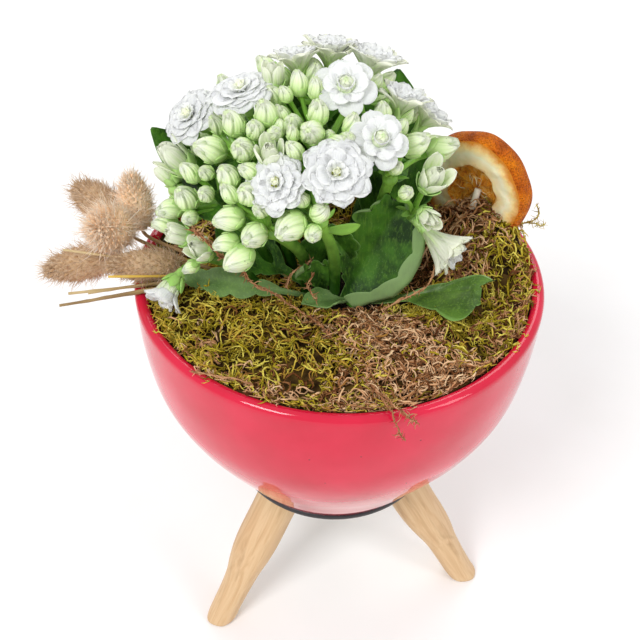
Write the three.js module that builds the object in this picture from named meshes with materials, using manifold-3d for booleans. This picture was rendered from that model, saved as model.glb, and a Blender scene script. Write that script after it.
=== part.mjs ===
// A potted white kalanchoe with double flowers. It grows in a red glazed bowl on a dark disc and three
// wooden legs, dressed with moss, bunny-tail grass, straw and a dried orange slice.
// Millimetres, +Z up. Shapes are laid out round the bowl's axis, with the ground at z = 0, the viewer on -Y
// and +X to the right. The whole arrangement is centred over its own footprint at the end.

import * as THREE from 'three';
import { mergeVertices } from 'three/addons/utils/BufferGeometryUtils.js';
import Module from 'manifold-3d';

const wasm = await Module();
wasm.setup();

// Driving dimensions
const GAP = 0.35;
const RIM_Z = 177;
const bowl = { rim: 80, depth: 100, wall: 5, foot: 45, floor: 7, sides: 36 };
const disc = { radius: 45, thick: 3 };
const leg = { footRadius: 6.6, topReach: 24, footReach: 69, sides: 11 };
const screw = { head: 4, shank: 1.8, length: 24, countersink: 2.4, reach: 22.5 };
const soilTop = 167;
const crown = { heart: [-12, 8, 193], radii: [56, 50, 64] };
const bearings = { leg_left: -136.7, leg_right: -16.7, leg_back: 103.3 };

// Materials
const finish = (color, roughness, metalness = 0) =>
  new THREE.MeshStandardMaterial({ color, roughness, metalness });
const glazed = finish(0xc4142d, 0.12);
const blackDisc = finish(0x1c1a1c, 0.45);
const paleWood = finish(0xdcb88a, 0.55);
const steel = finish(0x9a9a98, 0.35, 1);
const pottingSoil = finish(0x2b1c14, 0.95);
const greenMoss = finish(0x8c8a3a, 0.95);
const brownMoss = finish(0x8a6a4c, 0.95);
const stemGreen = finish(0x7fae4c, 0.5);
const leafGreen = finish(0x2f6a2c, 0.4);
const paleLeaf = finish(0x7ea27c, 0.5);
const petalWhite = finish(0xf4f5ee, 0.6);
const grassBeige = finish(0xcdb091, 0.9);
const straw = finish(0xc39a4f, 0.6);
const driedPeel = finish(0xb85f16, 0.7);
const palePick = finish(0xe6dcc8, 0.5);

// Small vector helpers
const at = (x, y, z) => new THREE.Vector3(x, y, z);
const point = (list) => at(...list);
const along = (start, direction, distance) => start.clone().addScaledVector(direction, distance);
const rad = THREE.MathUtils.degToRad;
function heading(bearing, rise) {
  const level = Math.cos(rad(rise));
  return at(level * Math.cos(rad(bearing)), level * Math.sin(rad(bearing)), Math.sin(rad(rise)));
}

// A point of the flower crown's dome, and the way the dome faces there
function onCrown(bearing, rise, out = 1) {
  const reach = heading(bearing, rise);
  const spot = reach.clone().multiply(point(crown.radii)).multiplyScalar(out).add(point(crown.heart));
  const facing = reach.clone().divide(point(crown.radii)).normalize();
  return { spot, facing };
}

// Two directions square to an axis
function across(axis, hint = at(0, 0, 1)) {
  const side = Math.abs(axis.dot(hint)) > 0.95 ? at(1, 0, 0).cross(axis) : hint.clone().cross(axis);
  side.normalize();
  return [side, axis.clone().cross(side).normalize()];
}

// Seeded random numbers from 0 to 1
function dice(seed) {
  let state = seed >>> 0;
  return () => {
    state = (state + 0x6d2b79f5) >>> 0;
    let t = Math.imul(state ^ (state >>> 15), 1 | state);
    t = (t + Math.imul(t ^ (t >>> 7), 61 | t)) ^ t;
    return ((t ^ (t >>> 14)) >>> 0) / 4294967296;
  };
}

// Between three.js geometry and solids
function solidOf(geometry) {
  geometry.deleteAttribute('normal');
  geometry.deleteAttribute('uv');
  const merged = mergeVertices(geometry, 1e-4);
  const corners = Float32Array.from(merged.attributes.position.array);
  const faces = [];
  for (let i = 0; i < merged.index.count; i += 3) {
    const [a, b, c] = merged.index.array.slice(i, i + 3);
    if (a !== b && b !== c && c !== a) faces.push(a, b, c);
  }
  const body = new wasm.Mesh({ numProp: 3, vertProperties: corners, triVerts: Uint32Array.from(faces) });
  return new wasm.Manifold(body);
}

function geometryOf(solid) {
  const body = solid.getMesh();
  const geometry = new THREE.BufferGeometry();
  geometry.setAttribute('position', new THREE.BufferAttribute(Float32Array.from(body.vertProperties), 3));
  geometry.setIndex(new THREE.BufferAttribute(Uint32Array.from(body.triVerts), 1));
  return geometry;
}

const fuse = (solids) => solids.reduce((whole, next) => whole.add(next));

function largestBody(solid) {
  return solid.decompose().reduce((best, body) => (body.volume() > best.volume() ? body : best));
}

// A closed skin from corner points and triangles
function skin(corners, faces) {
  const geometry = new THREE.BufferGeometry();
  const numbers = corners.flatMap((p) => [p.x, p.y, p.z]);
  geometry.setAttribute('position', new THREE.Float32BufferAttribute(numbers, 3));
  geometry.setIndex(faces);
  return solidOf(geometry);
}

// A closed skin through rings of points that run anticlockwise seen from the far end. A ring of one point
// is a tip.
function loft(rings) {
  const faces = [];
  const starts = [];
  let count = 0;
  for (const ring of rings) {
    starts.push(count);
    count += ring.length;
  }
  for (let k = 0; k + 1 < rings.length; k++) {
    const near = rings[k].length;
    const far = rings[k + 1].length;
    for (let i = 0; i < Math.max(near, far); i++) {
      const a = starts[k] + (i % near);
      const b = starts[k] + ((i + 1) % near);
      const c = starts[k + 1] + (i % far);
      const d = starts[k + 1] + ((i + 1) % far);
      if (near > 1) faces.push(a, b, d);
      if (far > 1) faces.push(a, d, c);
    }
  }
  const end = starts.at(-1);
  for (let i = 1; i + 1 < rings[0].length; i++) faces.push(0, i + 1, i);
  for (let i = 1; i + 1 < rings.at(-1).length; i++) faces.push(end, end + i, end + i + 1);
  return skin(rings.flat(), faces);
}

// A turned form along an axis: stations are [distance, radius], and a radius of 0 closes to a tip
function turned(start, axis, stations, sides, spin = 0) {
  const [u, v] = across(axis);
  return loft(stations.map(([distance, radius]) => {
    const centre = along(start, axis, distance);
    if (radius === 0) return [centre];
    return Array.from({ length: sides }, (_, i) => {
      const angle = spin + (2 * Math.PI * i) / sides;
      return along(along(centre, u, radius * Math.cos(angle)), v, radius * Math.sin(angle));
    });
  }));
}

// A straight stick between two points
function stick(from, to, startRadius, endRadius, sides, grow = 0) {
  const axis = to.clone().sub(from);
  const length = axis.length();
  axis.normalize();
  const stations = [[-grow, startRadius + grow], [length + grow, endRadius + grow]];
  return turned(from, axis, stations, sides);
}

// A round stem along a smooth curve
function stem(points, radius, sides, steps, grow = 0) {
  const outOf = (end, before) => along(end, end.clone().sub(before).normalize(), grow);
  const route = [
    outOf(points[0], points[1]), ...points.slice(1, -1), outOf(points.at(-1), points.at(-2)),
  ];
  const path = new THREE.CatmullRomCurve3(route, false, 'centripetal');
  const section = new THREE.Shape(Array.from({ length: sides }, (_, i) => {
    const angle = (2 * Math.PI * i) / sides;
    return new THREE.Vector2((radius + grow) * Math.cos(angle), (radius + grow) * Math.sin(angle));
  }));
  return solidOf(new THREE.ExtrudeGeometry(section, { steps, bevelEnabled: false, extrudePath: path }));
}

// A thin closed sheet: a face of triangles, thickened below, and split alike on both sides
function sheet(top, faces, thickness, grow = 0) {
  const normals = top.map(() => at(0, 0, 0));
  for (const face of faces) {
    const [a, b, c] = face.map((id) => top[id]);
    const normal = b.clone().sub(a).cross(c.clone().sub(a));
    face.forEach((id) => normals[id].add(normal));
  }
  normals.forEach((normal) => normal.normalize());
  const upper = top.map((p, id) => along(p, normals[id], grow));
  const lower = top.map((p, id) => along(p, normals[id], -thickness - grow));
  const n = top.length;
  const closed = faces.flatMap(([a, b, c]) => [a, b, c, a + n, c + n, b + n]);
  const edges = new Set(faces.flatMap(([a, b, c]) => [`${a},${b}`, `${b},${c}`, `${c},${a}`]));
  for (const edge of edges) {
    const [p, q] = edge.split(',').map(Number);
    if (!edges.has(`${q},${p}`)) closed.push(p, p + n, q, q, p + n, q + n);
  }
  return skin([...upper, ...lower], closed);
}

// A blade: a sheet through rows of points
function blade(rows, thickness, grow = 0) {
  const faces = [];
  let start = 0;
  for (let k = 0; k + 1 < rows.length; k++) {
    const near = rows[k].length;
    const far = rows[k + 1].length;
    let i = 0;
    let j = 0;
    while (i < near - 1 || j < far - 1) {
      const stepNear = j === far - 1 || (i < near - 1 && (i + 1) * (far - 1) <= (j + 1) * (near - 1));
      const a = start + i;
      const c = start + near + j;
      faces.push(stepNear ? [a, a + 1, c] : [a, c + 1, c]);
      if (stepNear) i++;
      else j++;
    }
    start += near;
  }
  return sheet(rows.flat(), faces, thickness, grow);
}

// Sub-parts take their place one after another. Each keeps clear of those before it, and is one body.
const arrangement = new THREE.Group();
const placed = [];

function show(name, solid, material, home = at(0, 0, 0)) {
  const mesh = new THREE.Mesh(geometryOf(solid).translate(-home.x, -home.y, -home.z), material);
  mesh.name = name;
  mesh.position.copy(home);
  arrangement.add(mesh);
}

const boxesMeet = (a, b) =>
  [0, 1, 2].every((k) => a.min[k] < b.max[k] && b.min[k] < a.max[k]);

function seat(name, build, material, home) {
  let solid = build(0);
  for (const other of placed) {
    if (boxesMeet(solid.boundingBox(), other.boundingBox())) solid = solid.subtract(other);
  }
  show(name, largestBody(solid), material, home);
  placed.push(build(GAP));
}

// Bowl: thrown profile with a rounded lip and a flat floor
const depthShare = [
  [1.0, bowl.foot], [0.92, 50.1], [0.81, 56.4], [0.68, 64.1], [0.55, 71], [0.41, 76.2], [0.22, 79.1],
  [0.035, bowl.rim],
];
const outside = depthShare.map(([share, radius]) => new THREE.Vector2(radius, RIM_Z - share * bowl.depth));
const floorZ = RIM_Z - bowl.depth + bowl.floor;
const wallRings = outside.slice(2).reverse().filter((_, i) => i !== 1);
const inside = [
  ...wallRings.map((p) => new THREE.Vector2(p.x - bowl.wall, p.y)),
  new THREE.Vector2(41, floorZ),
];

function lathe(profile, sides) {
  return solidOf(new THREE.LatheGeometry(profile, sides).rotateX(Math.PI / 2));
}

function bowlSolid(grow) {
  const lipRadius = bowl.wall / 2;
  const lip = [30, 90, 150].map((turn) => new THREE.Vector2(
    bowl.rim - lipRadius + (lipRadius + grow) * Math.cos(rad(turn)),
    RIM_Z - lipRadius + (lipRadius + grow) * Math.sin(rad(turn)),
  ));
  const wallOut = outside.map((p) => new THREE.Vector2(p.x + grow, p.y));
  const wallIn = inside.map((p) => new THREE.Vector2(p.x - grow, p.y));
  const profile = [
    new THREE.Vector2(0, outside[0].y - grow),
    new THREE.Vector2(bowl.foot + grow, outside[0].y - grow),
    ...wallOut.slice(1), ...lip, ...wallIn,
    new THREE.Vector2(0, floorZ + grow),
  ];
  return lathe(profile, bowl.sides);
}
seat('bowl', bowlSolid, glazed);

// Mounting disc under the bowl, with three countersunk screws into the legs
const discTop = RIM_Z - bowl.depth - GAP;
const discUnder = discTop - disc.thick;
const legTilt = Math.atan2(leg.footReach - leg.topReach, discUnder);
const legAxis = (bearing) => heading(180 + bearing, 90 - THREE.MathUtils.radToDeg(legTilt));
const legFoot = (bearing) => heading(bearing, 0).multiplyScalar(leg.footReach);

function screwSolid(bearing, grow) {
  const axis = legAxis(bearing);
  const head = heading(bearing, 0).multiplyScalar(screw.reach).setZ(discTop - GAP);
  const sunk = screw.countersink / Math.cos(legTilt);
  const flare = (screw.head - screw.shank) / sunk;
  const past = 8;
  const round = turned(along(head, axis, -screw.length), axis, [
    [-grow, screw.shank * 0.55 + grow], [4, screw.shank + grow], [screw.length - sunk, screw.shank + grow],
    [screw.length + past, screw.shank + flare * (sunk + past) + grow],
  ], 8);
  const above = new THREE.BoxGeometry(80, 80, 40).translate(head.x, head.y, head.z + 20 + grow);
  return round.subtract(solidOf(above));
}
for (const [name, bearing] of Object.entries(bearings)) {
  seat(`screw_${name}`, (grow) => screwSolid(bearing, grow), steel);
}

function discSolid(grow) {
  const height = disc.thick + 2 * grow;
  const round = new THREE.CylinderGeometry(disc.radius + grow, disc.radius + grow, height, 28);
  return solidOf(round.rotateX(Math.PI / 2).translate(0, 0, discUnder + disc.thick / 2));
}
seat('mounting_disc', discSolid, blackDisc);

// Legs: turned wood, thick at the top, cut level under the disc and at the ground
const legProfile = [[-12, 0.95], [20, 1.03], [44, 1.18], [62, 1.44], [110, 1.52]];

function legSolid(bearing, grow) {
  const axis = legAxis(bearing);
  const stations = legProfile.map(([distance, swell]) => [distance, leg.footRadius * swell + grow]);
  const round = turned(legFoot(bearing), axis, stations, leg.sides);
  const slab = (low) => solidOf(new THREE.BoxGeometry(300, 300, 60).translate(0, 0, low + 30));
  return round.subtract(slab(discUnder - GAP + grow)).subtract(slab(-60 - grow));
}
for (const [name, bearing] of Object.entries(bearings)) {
  seat(name, (grow) => legSolid(bearing, grow), paleWood, legFoot(bearing));
}

// Open double flowers: a cup, a wide outer layer of petals and a raised inner one, each layer one sheet
function petalLayer(place, { petals, spin, hub, notch, shoulder, tip, halfAngle }, grow) {
  const top = [place(0, 0, hub)];
  const faces = [];
  const perPetal = tip ? 4 : 3;
  for (let i = 0; i < petals; i++) {
    const middle = spin + (2 * Math.PI * i) / petals;
    const turn = halfAngle * (Math.PI / petals) + grow / shoulder[0];
    const outline = [
      [middle - Math.PI / petals, notch], [middle - turn, shoulder], [middle, tip], [middle + turn, shoulder],
    ];
    for (const [angle, spot] of outline) if (spot) top.push(place(angle, spot[0] + grow, spot[1]));
    const first = 1 + i * perPetal;
    const next = 1 + ((i + 1) % petals) * perPetal;
    for (let k = 1; k + 1 < perPetal; k++) faces.push([first, first + k, first + k + 1]);
    faces.push([first, first + perPetal - 1, next], [0, first, next]);
  }
  return sheet(top, faces, 0.9, grow);
}

function bloomSolid({ centre, facing, size, petals = 6, spin = 0, close = 0 }, grow) {
  const half = size / 2;
  const [u, v] = across(facing);
  const place = (angle, radius, height) =>
    along(along(along(centre, u, radius * Math.cos(angle)), v, radius * Math.sin(angle)), facing, height);
  const cup = turned(centre, facing, [
    [-9 - grow, 1.3 + grow], [-1.5, half * 0.24 + grow], [3, half * 0.22 + grow], [5.2 + grow, 0],
  ], 5);
  const outer = {
    petals, spin, hub: -0.6, halfAngle: 0.8, notch: [half * 0.42, 0.1],
    shoulder: [half * 0.84, 1.6 + close * 7], tip: [half, 0.6 + close * 9],
  };
  const inner = {
    petals: petals - 1, spin: spin + 0.5, hub: 1.2, halfAngle: 0.62, notch: [half * 0.32, 2.2 + close],
    shoulder: [half * 0.6, 5.2 + close * 4], tip: null,
  };
  return fuse([cup, petalLayer(place, outer, grow), petalLayer(place, inner, grow)]);
}

// Each bloom: place on the dome (bearing, rise, out), facing (bearing, rise), diameter, petals in a layer
const blooms = {
  bloom_left_side: [[172, 40, 1.02], [-150, 50], 22, 7],
  bloom_left_top: [[-174, 64, 1.03], [-172, 80], 23, 7],
  bloom_front_right: [[-78, 45, 1.05], [-80, 52], 23, 7],
  bloom_front_left: [[-104, 42, 1.0], [-118, 46], 20, 6],
  bloom_top: [[-37, 75, 1.02], [-95, 58], 20.5, 5],
  bloom_right: [[-49, 53, 1.03], [-72, 48], 19, 5],
  bloom_right_side: [[4, 55, 1.0], [32, 62], 16.5, 6, 0.3],
  bloom_right_outer: [[18, 38, 1.02], [22, 38], 15.5, 6, 0.3],
  bloom_top_left: [[112, 74, 1.0], [105, 58], 15, 6, 0.3],
  bloom_top_middle: [[76, 64, 1.0], [88, 62], 15, 6, 0.3],
  bloom_top_right: [[44, 60, 1.0], [50, 58], 15, 6, 0.3],
  bloom_back: [[92, 34, 1.0], [92, 36], 21, 6],
  bloom_back_left: [[132, 30, 1.0], [134, 32], 21, 6],
  bloom_back_right: [[64, 20, 1.0], [62, 24], 20, 6],
};

const bloomAt = ([[bearing, rise, out], [faceBearing, faceRise], size, petals, close = 0]) => ({
  centre: onCrown(bearing, rise, out).spot, facing: heading(faceBearing, faceRise), size, petals, close,
});
for (const [name, row] of Object.entries(blooms)) {
  const bloom = bloomAt(row);
  seat(name, (grow) => bloomSolid(bloom, grow), petalWhite, bloom.centre);
}

// The low flower that leans out on the right, on its own stem from the base of the plant
const trumpet = {
  centre: at(42, -16, 197), facing: at(0.72, -0.5, -0.4).normalize(), size: 15, petals: 6, close: 0.35,
};
const trumpetBase = along(trumpet.centre, trumpet.facing, -8);
const trumpetStem = [at(15, 3, 160), at(27, 3, 188), at(33, -5, 203), trumpetBase];
seat('bloom_low_right', (grow) => fuse([
  bloomSolid(trumpet, grow), stem(trumpetStem, 1.2, 4, 5, grow),
]), petalWhite, trumpet.centre);

// A bud on its short stalk: a pointed oval, or a flared mouth on one that is half open
function budSolid(root, spot, facing, size, open, grow) {
  const r = size * 0.465 + grow;
  const h = size * 1.3;
  const base = along(spot, facing, -h * 0.45);
  const closed = [[0, r * 0.4], [h * 0.4, r], [h * 0.8, r * 0.62], [h + grow, 0]];
  const flared = [[0, r * 0.4], [h * 0.45, r * 0.95], [h + grow, r * 1.05], [h * 0.86 + grow, 0]];
  const [u, v] = across(facing);
  const sides = size < 9 ? 4 : 5;
  const ring = ([distance, radius]) => {
    const centre = along(base, facing, distance);
    if (radius === 0) return [centre];
    return Array.from({ length: sides }, (_, i) => {
      const angle = size + (2 * Math.PI * i) / sides;
      return along(along(centre, u, radius * Math.cos(angle)), v, radius * Math.sin(angle));
    });
  };
  return loft([[root], ...(open ? flared : closed).map(ring)]);
}

// Sprays: a stalk from the soil to a fork, and from there a short stalk to every bud and bloom
function spraySolid({ foot, bend, fork, buds, carries = [], hanging, thick = 2.1 }, grow) {
  const forkAt = point(fork);
  const parts = [
    stem([point(foot), point(bend), forkAt], thick, 5, 3, grow),
    turned(forkAt, at(0, 0, 1), [[-3 - grow, 2 + grow], [1, 3.2 + grow], [4 + grow, 0]], 5),
  ];
  for (const [bearing, rise, size, open] of buds) {
    const { spot, facing } = onCrown(bearing, rise);
    const away = spot.clone().sub(forkAt).normalize();
    const nod = facing.multiplyScalar(0.6).addScaledVector(away, 0.6).normalize();
    parts.push(budSolid(forkAt, spot, nod, size, open, grow));
  }
  for (const name of carries) {
    const bloom = bloomAt(blooms[name]);
    parts.push(stick(forkAt, along(bloom.centre, bloom.facing, -8), 1.4, 1.1, 4, grow));
  }
  if (hanging) {
    parts.push(budSolid(forkAt, point(hanging.spot), point(hanging.facing).normalize(), 12.5, 1, grow));
  }
  return fuse(parts);
}

// Buds are [bearing, rise, diameter, half-open] on the dome
const sprays = {
  spray_left_top: {
    foot: [-16, 6, 158], bend: [-24, 5, 195], fork: [-34, 0, 222],
    buds: [[-147, 56, 8.2], [-129, 58, 6.7], [-114, 59, 5.3], [-130, 65, 8.1], [-149, 44, 9.6],
      [-129, 50, 8.4], [-112, 51, 9.4, 1], [152, 50, 7.3], [176, 76, 8.3, 1]],
    carries: ['bloom_left_side', 'bloom_left_top'],
  },
  spray_left: {
    foot: [-20, 4, 158], bend: [-30, 0, 185], fork: [-42, -6, 208],
    buds: [[-176, 28, 11.5, 1], [176, 16, 7.8, 1], [-153, 33, 6.7], [-143, 37, 5.4], [-130, 40, 8.1],
      [-138, 31, 5.9], [-149, 25, 8.5], [-159, 16, 8.0], [-164, 7, 7.4], [-143, 20, 5.6]],
  },
  spray_front_left: {
    foot: [-13, -3, 158], bend: [-14, -10, 190], fork: [-25, -24, 213],
    buds: [[-120, 44, 6.2], [-126, 35, 6.2], [-117, 37, 8.1], [-110, 33, 5.9], [-123, 27, 8.9],
      [-111, 24, 8.8], [-122, 19, 6.9], [-116, 15, 9.6]],
  },
  spray_front: {
    foot: [-2, -6, 158], bend: [0, -16, 195], fork: [-8, -28, 221],
    buds: [[-97, 29, 10.1], [-88, 27, 6.2], [-85, 34, 6.7], [-93, 38, 5.4], [-99, 54, 6.2], [-102, 60, 4.6]],
    carries: ['bloom_front_right', 'bloom_front_left'],
  },
  spray_middle: {
    foot: [-8, 4, 158], bend: [-8, 2, 200], fork: [-8, -4, 228],
    buds: [[-89, 61, 8.3], [-83, 69, 7.4], [-73, 54, 6.7], [-66, 57, 6.2], [-58, 62, 6.7], [-124, 82, 6.8],
      [-80, 80, 6.3], [-128, 75, 5]],
    carries: ['bloom_top'],
  },
  spray_right: {
    foot: [5, 4, 158], bend: [12, 6, 192], fork: [17, -1, 221],
    buds: [[-26, 61, 6.4], [-44, 43, 5], [12, 66, 5.2], [-22, 45, 8.7], [12, 27, 9.4]],
    carries: ['bloom_right', 'bloom_right_side', 'bloom_right_outer'],
  },
  spray_right_low: {
    foot: [12, 6, 158], bend: [21, 6, 184], fork: [26, -2, 206],
    buds: [[-24, 32, 10.8, 1], [-44, 34, 5.2], [-36, 22, 7.2, 1]],
    thick: 1.7,
  },
  spray_low_left: {
    foot: [-24, -4, 158], bend: [-36, -14, 186], fork: [-50, -22, 199],
    buds: [[-148, 11, 8, 1], [-134, 12, 8.6, 1], [-139, 3, 5]],
    hanging: { spot: [-62, -25, 187], facing: [-0.42, -0.62, -0.66] },
    thick: 1.6,
  },
  spray_back: {
    foot: [-8, 12, 158], bend: [-8, 20, 195], fork: [-6, 26, 226],
    buds: [[42, 50, 6.8], [98, 52, 7], [122, 55, 7.6], [64, 44, 6.4], [112, 42, 8],
      [74, 26, 7.4], [106, 22, 8]],
    carries: ['bloom_top_left', 'bloom_top_middle', 'bloom_top_right', 'bloom_back'],
  },
  spray_back_left: {
    foot: [-18, 12, 158], bend: [-28, 20, 190], fork: [-34, 26, 212],
    buds: [[150, 36, 8], [160, 26, 7.4], [146, 14, 8.4], [118, 16, 7.6]],
    carries: ['bloom_back_left'],
  },
  spray_back_right: {
    foot: [2, 19, 158], bend: [8, 29, 186], fork: [17, 37, 207],
    buds: [[38, 32, 7.6], [52, 8, 8], [40, 14, 7.4], [28, 20, 8.6]],
    carries: ['bloom_back_right'],
  },
};
for (const [name, spray] of Object.entries(sprays)) {
  seat(name, (grow) => spraySolid(spray, grow), stemGreen, point(spray.foot));
}

// Leaves: a short stalk and a fleshy blade with round lobes on its edge, cupped about its midrib
function leafSolid(leaf, grow) {
  const { root, tip, face, width, cup = 14, sag = 4, lobes = 4, broad = 0.62, thick = 1.7 } = leaf;
  const start = point(root);
  const end = point(tip);
  const axis = end.clone().sub(start).normalize();
  const side = axis.clone().cross(point(face)).normalize();
  const up = side.clone().cross(axis).normalize();
  const middle = along(start.clone().lerp(end, 0.5), up, -sag);
  const spine = new THREE.QuadraticBezierCurve3(start, middle, end);
  const [leftWidth, rightWidth] = Array.isArray(width) ? width : [width, width];
  const rows = [];
  const steps = 2 * lobes + 2;
  for (let k = 0; k <= steps; k++) {
    const t = k < 2 ? 0.16 * k : 0.16 + (0.84 * (k - 1)) / (steps - 1);
    const share = Math.max(0, (t - 0.16) / 0.84);
    const outline = Math.sin(Math.PI * share ** (Math.log(0.5) / Math.log(broad))) ** 0.75;
    const lobe = k % 2 ? 1.04 : 0.86;
    const reach = k < 2 ? 0.11 : Math.max(0.2, outline * lobe);
    const centre = spine.getPoint(t);
    const lift = Math.tan(rad(cup));
    const edge = (sign, halfWidth) =>
      along(along(centre, side, sign * (halfWidth * reach + grow)), up, halfWidth * reach * lift);
    rows.push([edge(-1, leftWidth), centre, edge(1, rightWidth)]);
  }
  rows[0] = rows[0].map((p) => along(p, axis, -grow));
  rows[steps] = rows[steps].map((p) => along(p, axis, grow));
  return blade(rows, thick, grow);
}

const leaves = {
  leaf_front_big: {
    root: [4, -10, 169.6], tip: [22.5, -1, 208.5], face: [0.15, -0.8, 0.6],
    width: [16, 15], cup: 24, lobes: 5,
  },
  leaf_front_low: {
    root: [5, -10, 169.6], tip: [-15, -22, 178.5], face: [-0.3, 0.3, 0.9],
    width: 7, cup: 15, sag: -3, lobes: 3,
  },
  leaf_right: {
    root: [10, -8, 169.2], tip: [54, -15, 182.5], face: [-0.1, -0.25, 0.95],
    width: [16, 17], cup: 12, sag: -1, lobes: 3, broad: 0.74,
  },
  leaf_left_low: {
    root: [-10, -9, 169.6], tip: [-61, -13, 182], face: [0, -0.6, 0.8], width: [9, 10], cup: 10, sag: -8,
  },
  leaf_left_middle: {
    root: [-14, -1, 170], tip: [-48, 1, 194], face: [0.2, -0.6, 0.8], width: 11, sag: -2,
  },
  leaf_front_notched: {
    root: [-5, -9, 169.6], tip: [-9, -16, 190], face: [0, -0.9, 0.4], width: 9, sag: 2, lobes: 3, broad: 0.7,
  },
  leaf_inner: {
    root: [-4, -1, 169.6], tip: [-4, -10, 206], face: [0, -0.9, 0.4], width: 11, cup: 16, sag: 3,
  },
  leaf_tall_right: {
    root: [9, 14, 169.6], tip: [20, 40, 242], face: [0.2, -0.8, 0.6], width: 14, sag: 5,
  },
  leaf_inner_right: {
    root: [13, 11, 169.6], tip: [31, 21, 218], face: [0.1, -0.8, 0.5], width: 10,
  },
  leaf_left_tip: {
    root: [-22, 10, 169.6], tip: [-72, 20, 226], face: [0.5, -0.3, 0.8], width: 10, sag: 8,
  },
  leaf_left_back: {
    root: [-18, 14, 169.6], tip: [-64, 44, 203], face: [0.4, -0.2, 0.9], width: 13,
  },
  leaf_back: {
    root: [-8, 16, 169.6], tip: [-20, 64, 200], face: [0, -0.4, 0.9], width: 14,
  },
  leaf_back_right: {
    root: [6, 13, 169.6], tip: [38, 52, 204], face: [-0.3, -0.4, 0.9], width: 13,
  },
};
for (const [name, leaf] of Object.entries(leaves)) {
  const pale = name === 'leaf_left_low' || name === 'leaf_front_low';
  seat(name, (grow) => leafSolid(leaf, grow), pale ? paleLeaf : leafGreen, point(leaf.root));
}

// Bunny-tail grass: a slim core with bristles that stand out of it, on a thin stem that leans on the rim
function tailSolid({ base, tip, radius, stemPoints, seed }, grow) {
  const start = point(base);
  const axis = point(tip).sub(start);
  const length = axis.length();
  axis.normalize();
  const core = radius * 0.78 + grow;
  const parts = [
    turned(start, axis, [[-grow, core * 0.45], [length * 0.22, core * 0.92], [length * 0.6, core],
      [length * 0.86, core * 0.66], [length + grow, 0]], 7),
    stem([along(start, axis, 3), ...stemPoints.map(point)], 0.8, 4, 5, grow),
  ];
  const random = dice(seed);
  const [u, v] = across(axis);
  const bristles = 14;
  for (let i = 0; i < bristles; i++) {
    const share = (i + 0.5) / bristles;
    const angle = i * 2.39996 + 0.5 * random();
    const outward = along(u.clone().multiplyScalar(Math.cos(angle)), v, Math.sin(angle));
    const lean = along(outward.clone().multiplyScalar(1 - 0.35 * share), axis, 0.45 + 0.9 * share);
    lean.normalize();
    const swell = Math.sin(Math.PI * (0.2 + 0.66 * share));
    const from = along(along(start, axis, length * (0.1 + 0.8 * share)), outward, radius * 0.36 * swell);
    const reach = radius * (0.92 + 0.2 * random());
    parts.push(turned(from, lean, [[0, 1.4 + grow], [reach + 2 * grow, 0]], 3, angle));
  }
  return fuse(parts);
}

const tails = {
  tail_back: { base: [-90, 26, 180.5], tip: [-109, 38, 184], radius: 8.8, seed: 11,
    stemPoints: [[-76, 20, 179.6], [-52, 11, 173], [-36, 6, 160]] },
  tail_upright: { base: [-79.5, 15.5, 181.5], tip: [-83, 22, 202], radius: 7.8, seed: 12,
    stemPoints: [[-76, 13, 179.3], [-55, 8, 172], [-38, 3, 160]] },
  tail_facing: { base: [-84.5, 7, 187], tip: [-91.5, -5.5, 198], radius: 11, seed: 13,
    stemPoints: [[-77, 9, 179.6], [-56, 4, 172], [-40, 0, 160]] },
  tail_low: { base: [-86, 1, 180], tip: [-114, -4, 175], radius: 8.2, seed: 14,
    stemPoints: [[-78, 2, 179.4], [-58, 0, 172], [-42, -3, 160]] },
  tail_on_rim: { base: [-61, -9, 184.5], tip: [-86.5, -14, 186.5], radius: 7, seed: 15,
    stemPoints: [[-54, -6, 181.5], [-45, -1, 172], [-42, 0, 162]] },
};
for (const [name, tail] of Object.entries(tails)) {
  seat(name, (grow) => tailSolid(tail, grow), grassBeige, point(tail.base));
}

// Cut straws over the left rim, gathered at their inner ends
const strawEnds = [[-104, -27, 178.5], [-97, -25, 180.6], [-102.5, -19, 178.5], [-93, -17.5, 180.8]];
const strawKnot = [-49, -10, 178.2];

function strawSolid(grow) {
  const knot = point(strawKnot);
  return fuse(strawEnds.map((end, i) => {
    const inner = along(knot, at(0, 1, 0), (i - 1.5) * 0.8);
    return stick(inner, point(end), 1.2, 1.35, 4, grow);
  }));
}
seat('grass_straws', strawSolid, straw, point(strawKnot));

// Dried orange slice on edge in the moss: thick peel, pale pith and a sunken pulp, and a pale pick beside it
const slice = { centre: at(54.6, 29.9, 196.5), turn: 38, radius: 22.5, half: 5, pulp: 11.5, sunk: 3 };
const sliceFacing = heading(-90 - slice.turn, 3);

function sliceSolid(grow) {
  const { half, radius, pulp, sunk } = slice;
  return turned(slice.centre, sliceFacing, [
    [-half + sunk - grow, 0], [-half - grow, pulp + 0.6], [-half - grow, radius - 1.4],
    [-half * 0.3, radius + grow], [half + grow, radius - 1.8], [half + grow, pulp + 0.6],
    [half - sunk + grow, pulp - 2], [half - sunk + grow, 0],
  ], 16);
}
seat('orange_slice', sliceSolid, driedPeel, slice.centre);

const pickTop = along(slice.centre, sliceFacing, 5.4).add(at(1, 0, 0));
const pickSolid = (grow) => stick(at(47, 17, 172), pickTop, 1.5, 1.4, 6, grow);
seat('orange_pick', pickSolid, palePick, at(47, 17, 172));

// Moss: cushions with a lumpy top on a ring round the plant, heaped up in front of the orange slice
const heaps = [
  [52, 17, 13, 17], [66, 34, 7, 14], [-26, -38, 3.5, 22], [22, -42, 3, 20], [-52, -12, 3.5, 12],
  [8, 58, 4, 20], [-58, 14, -6, 15],
];
const mossOuter = (bowl.rim - bowl.wall) * Math.cos(Math.PI / bowl.sides) - 2 * GAP;

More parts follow.
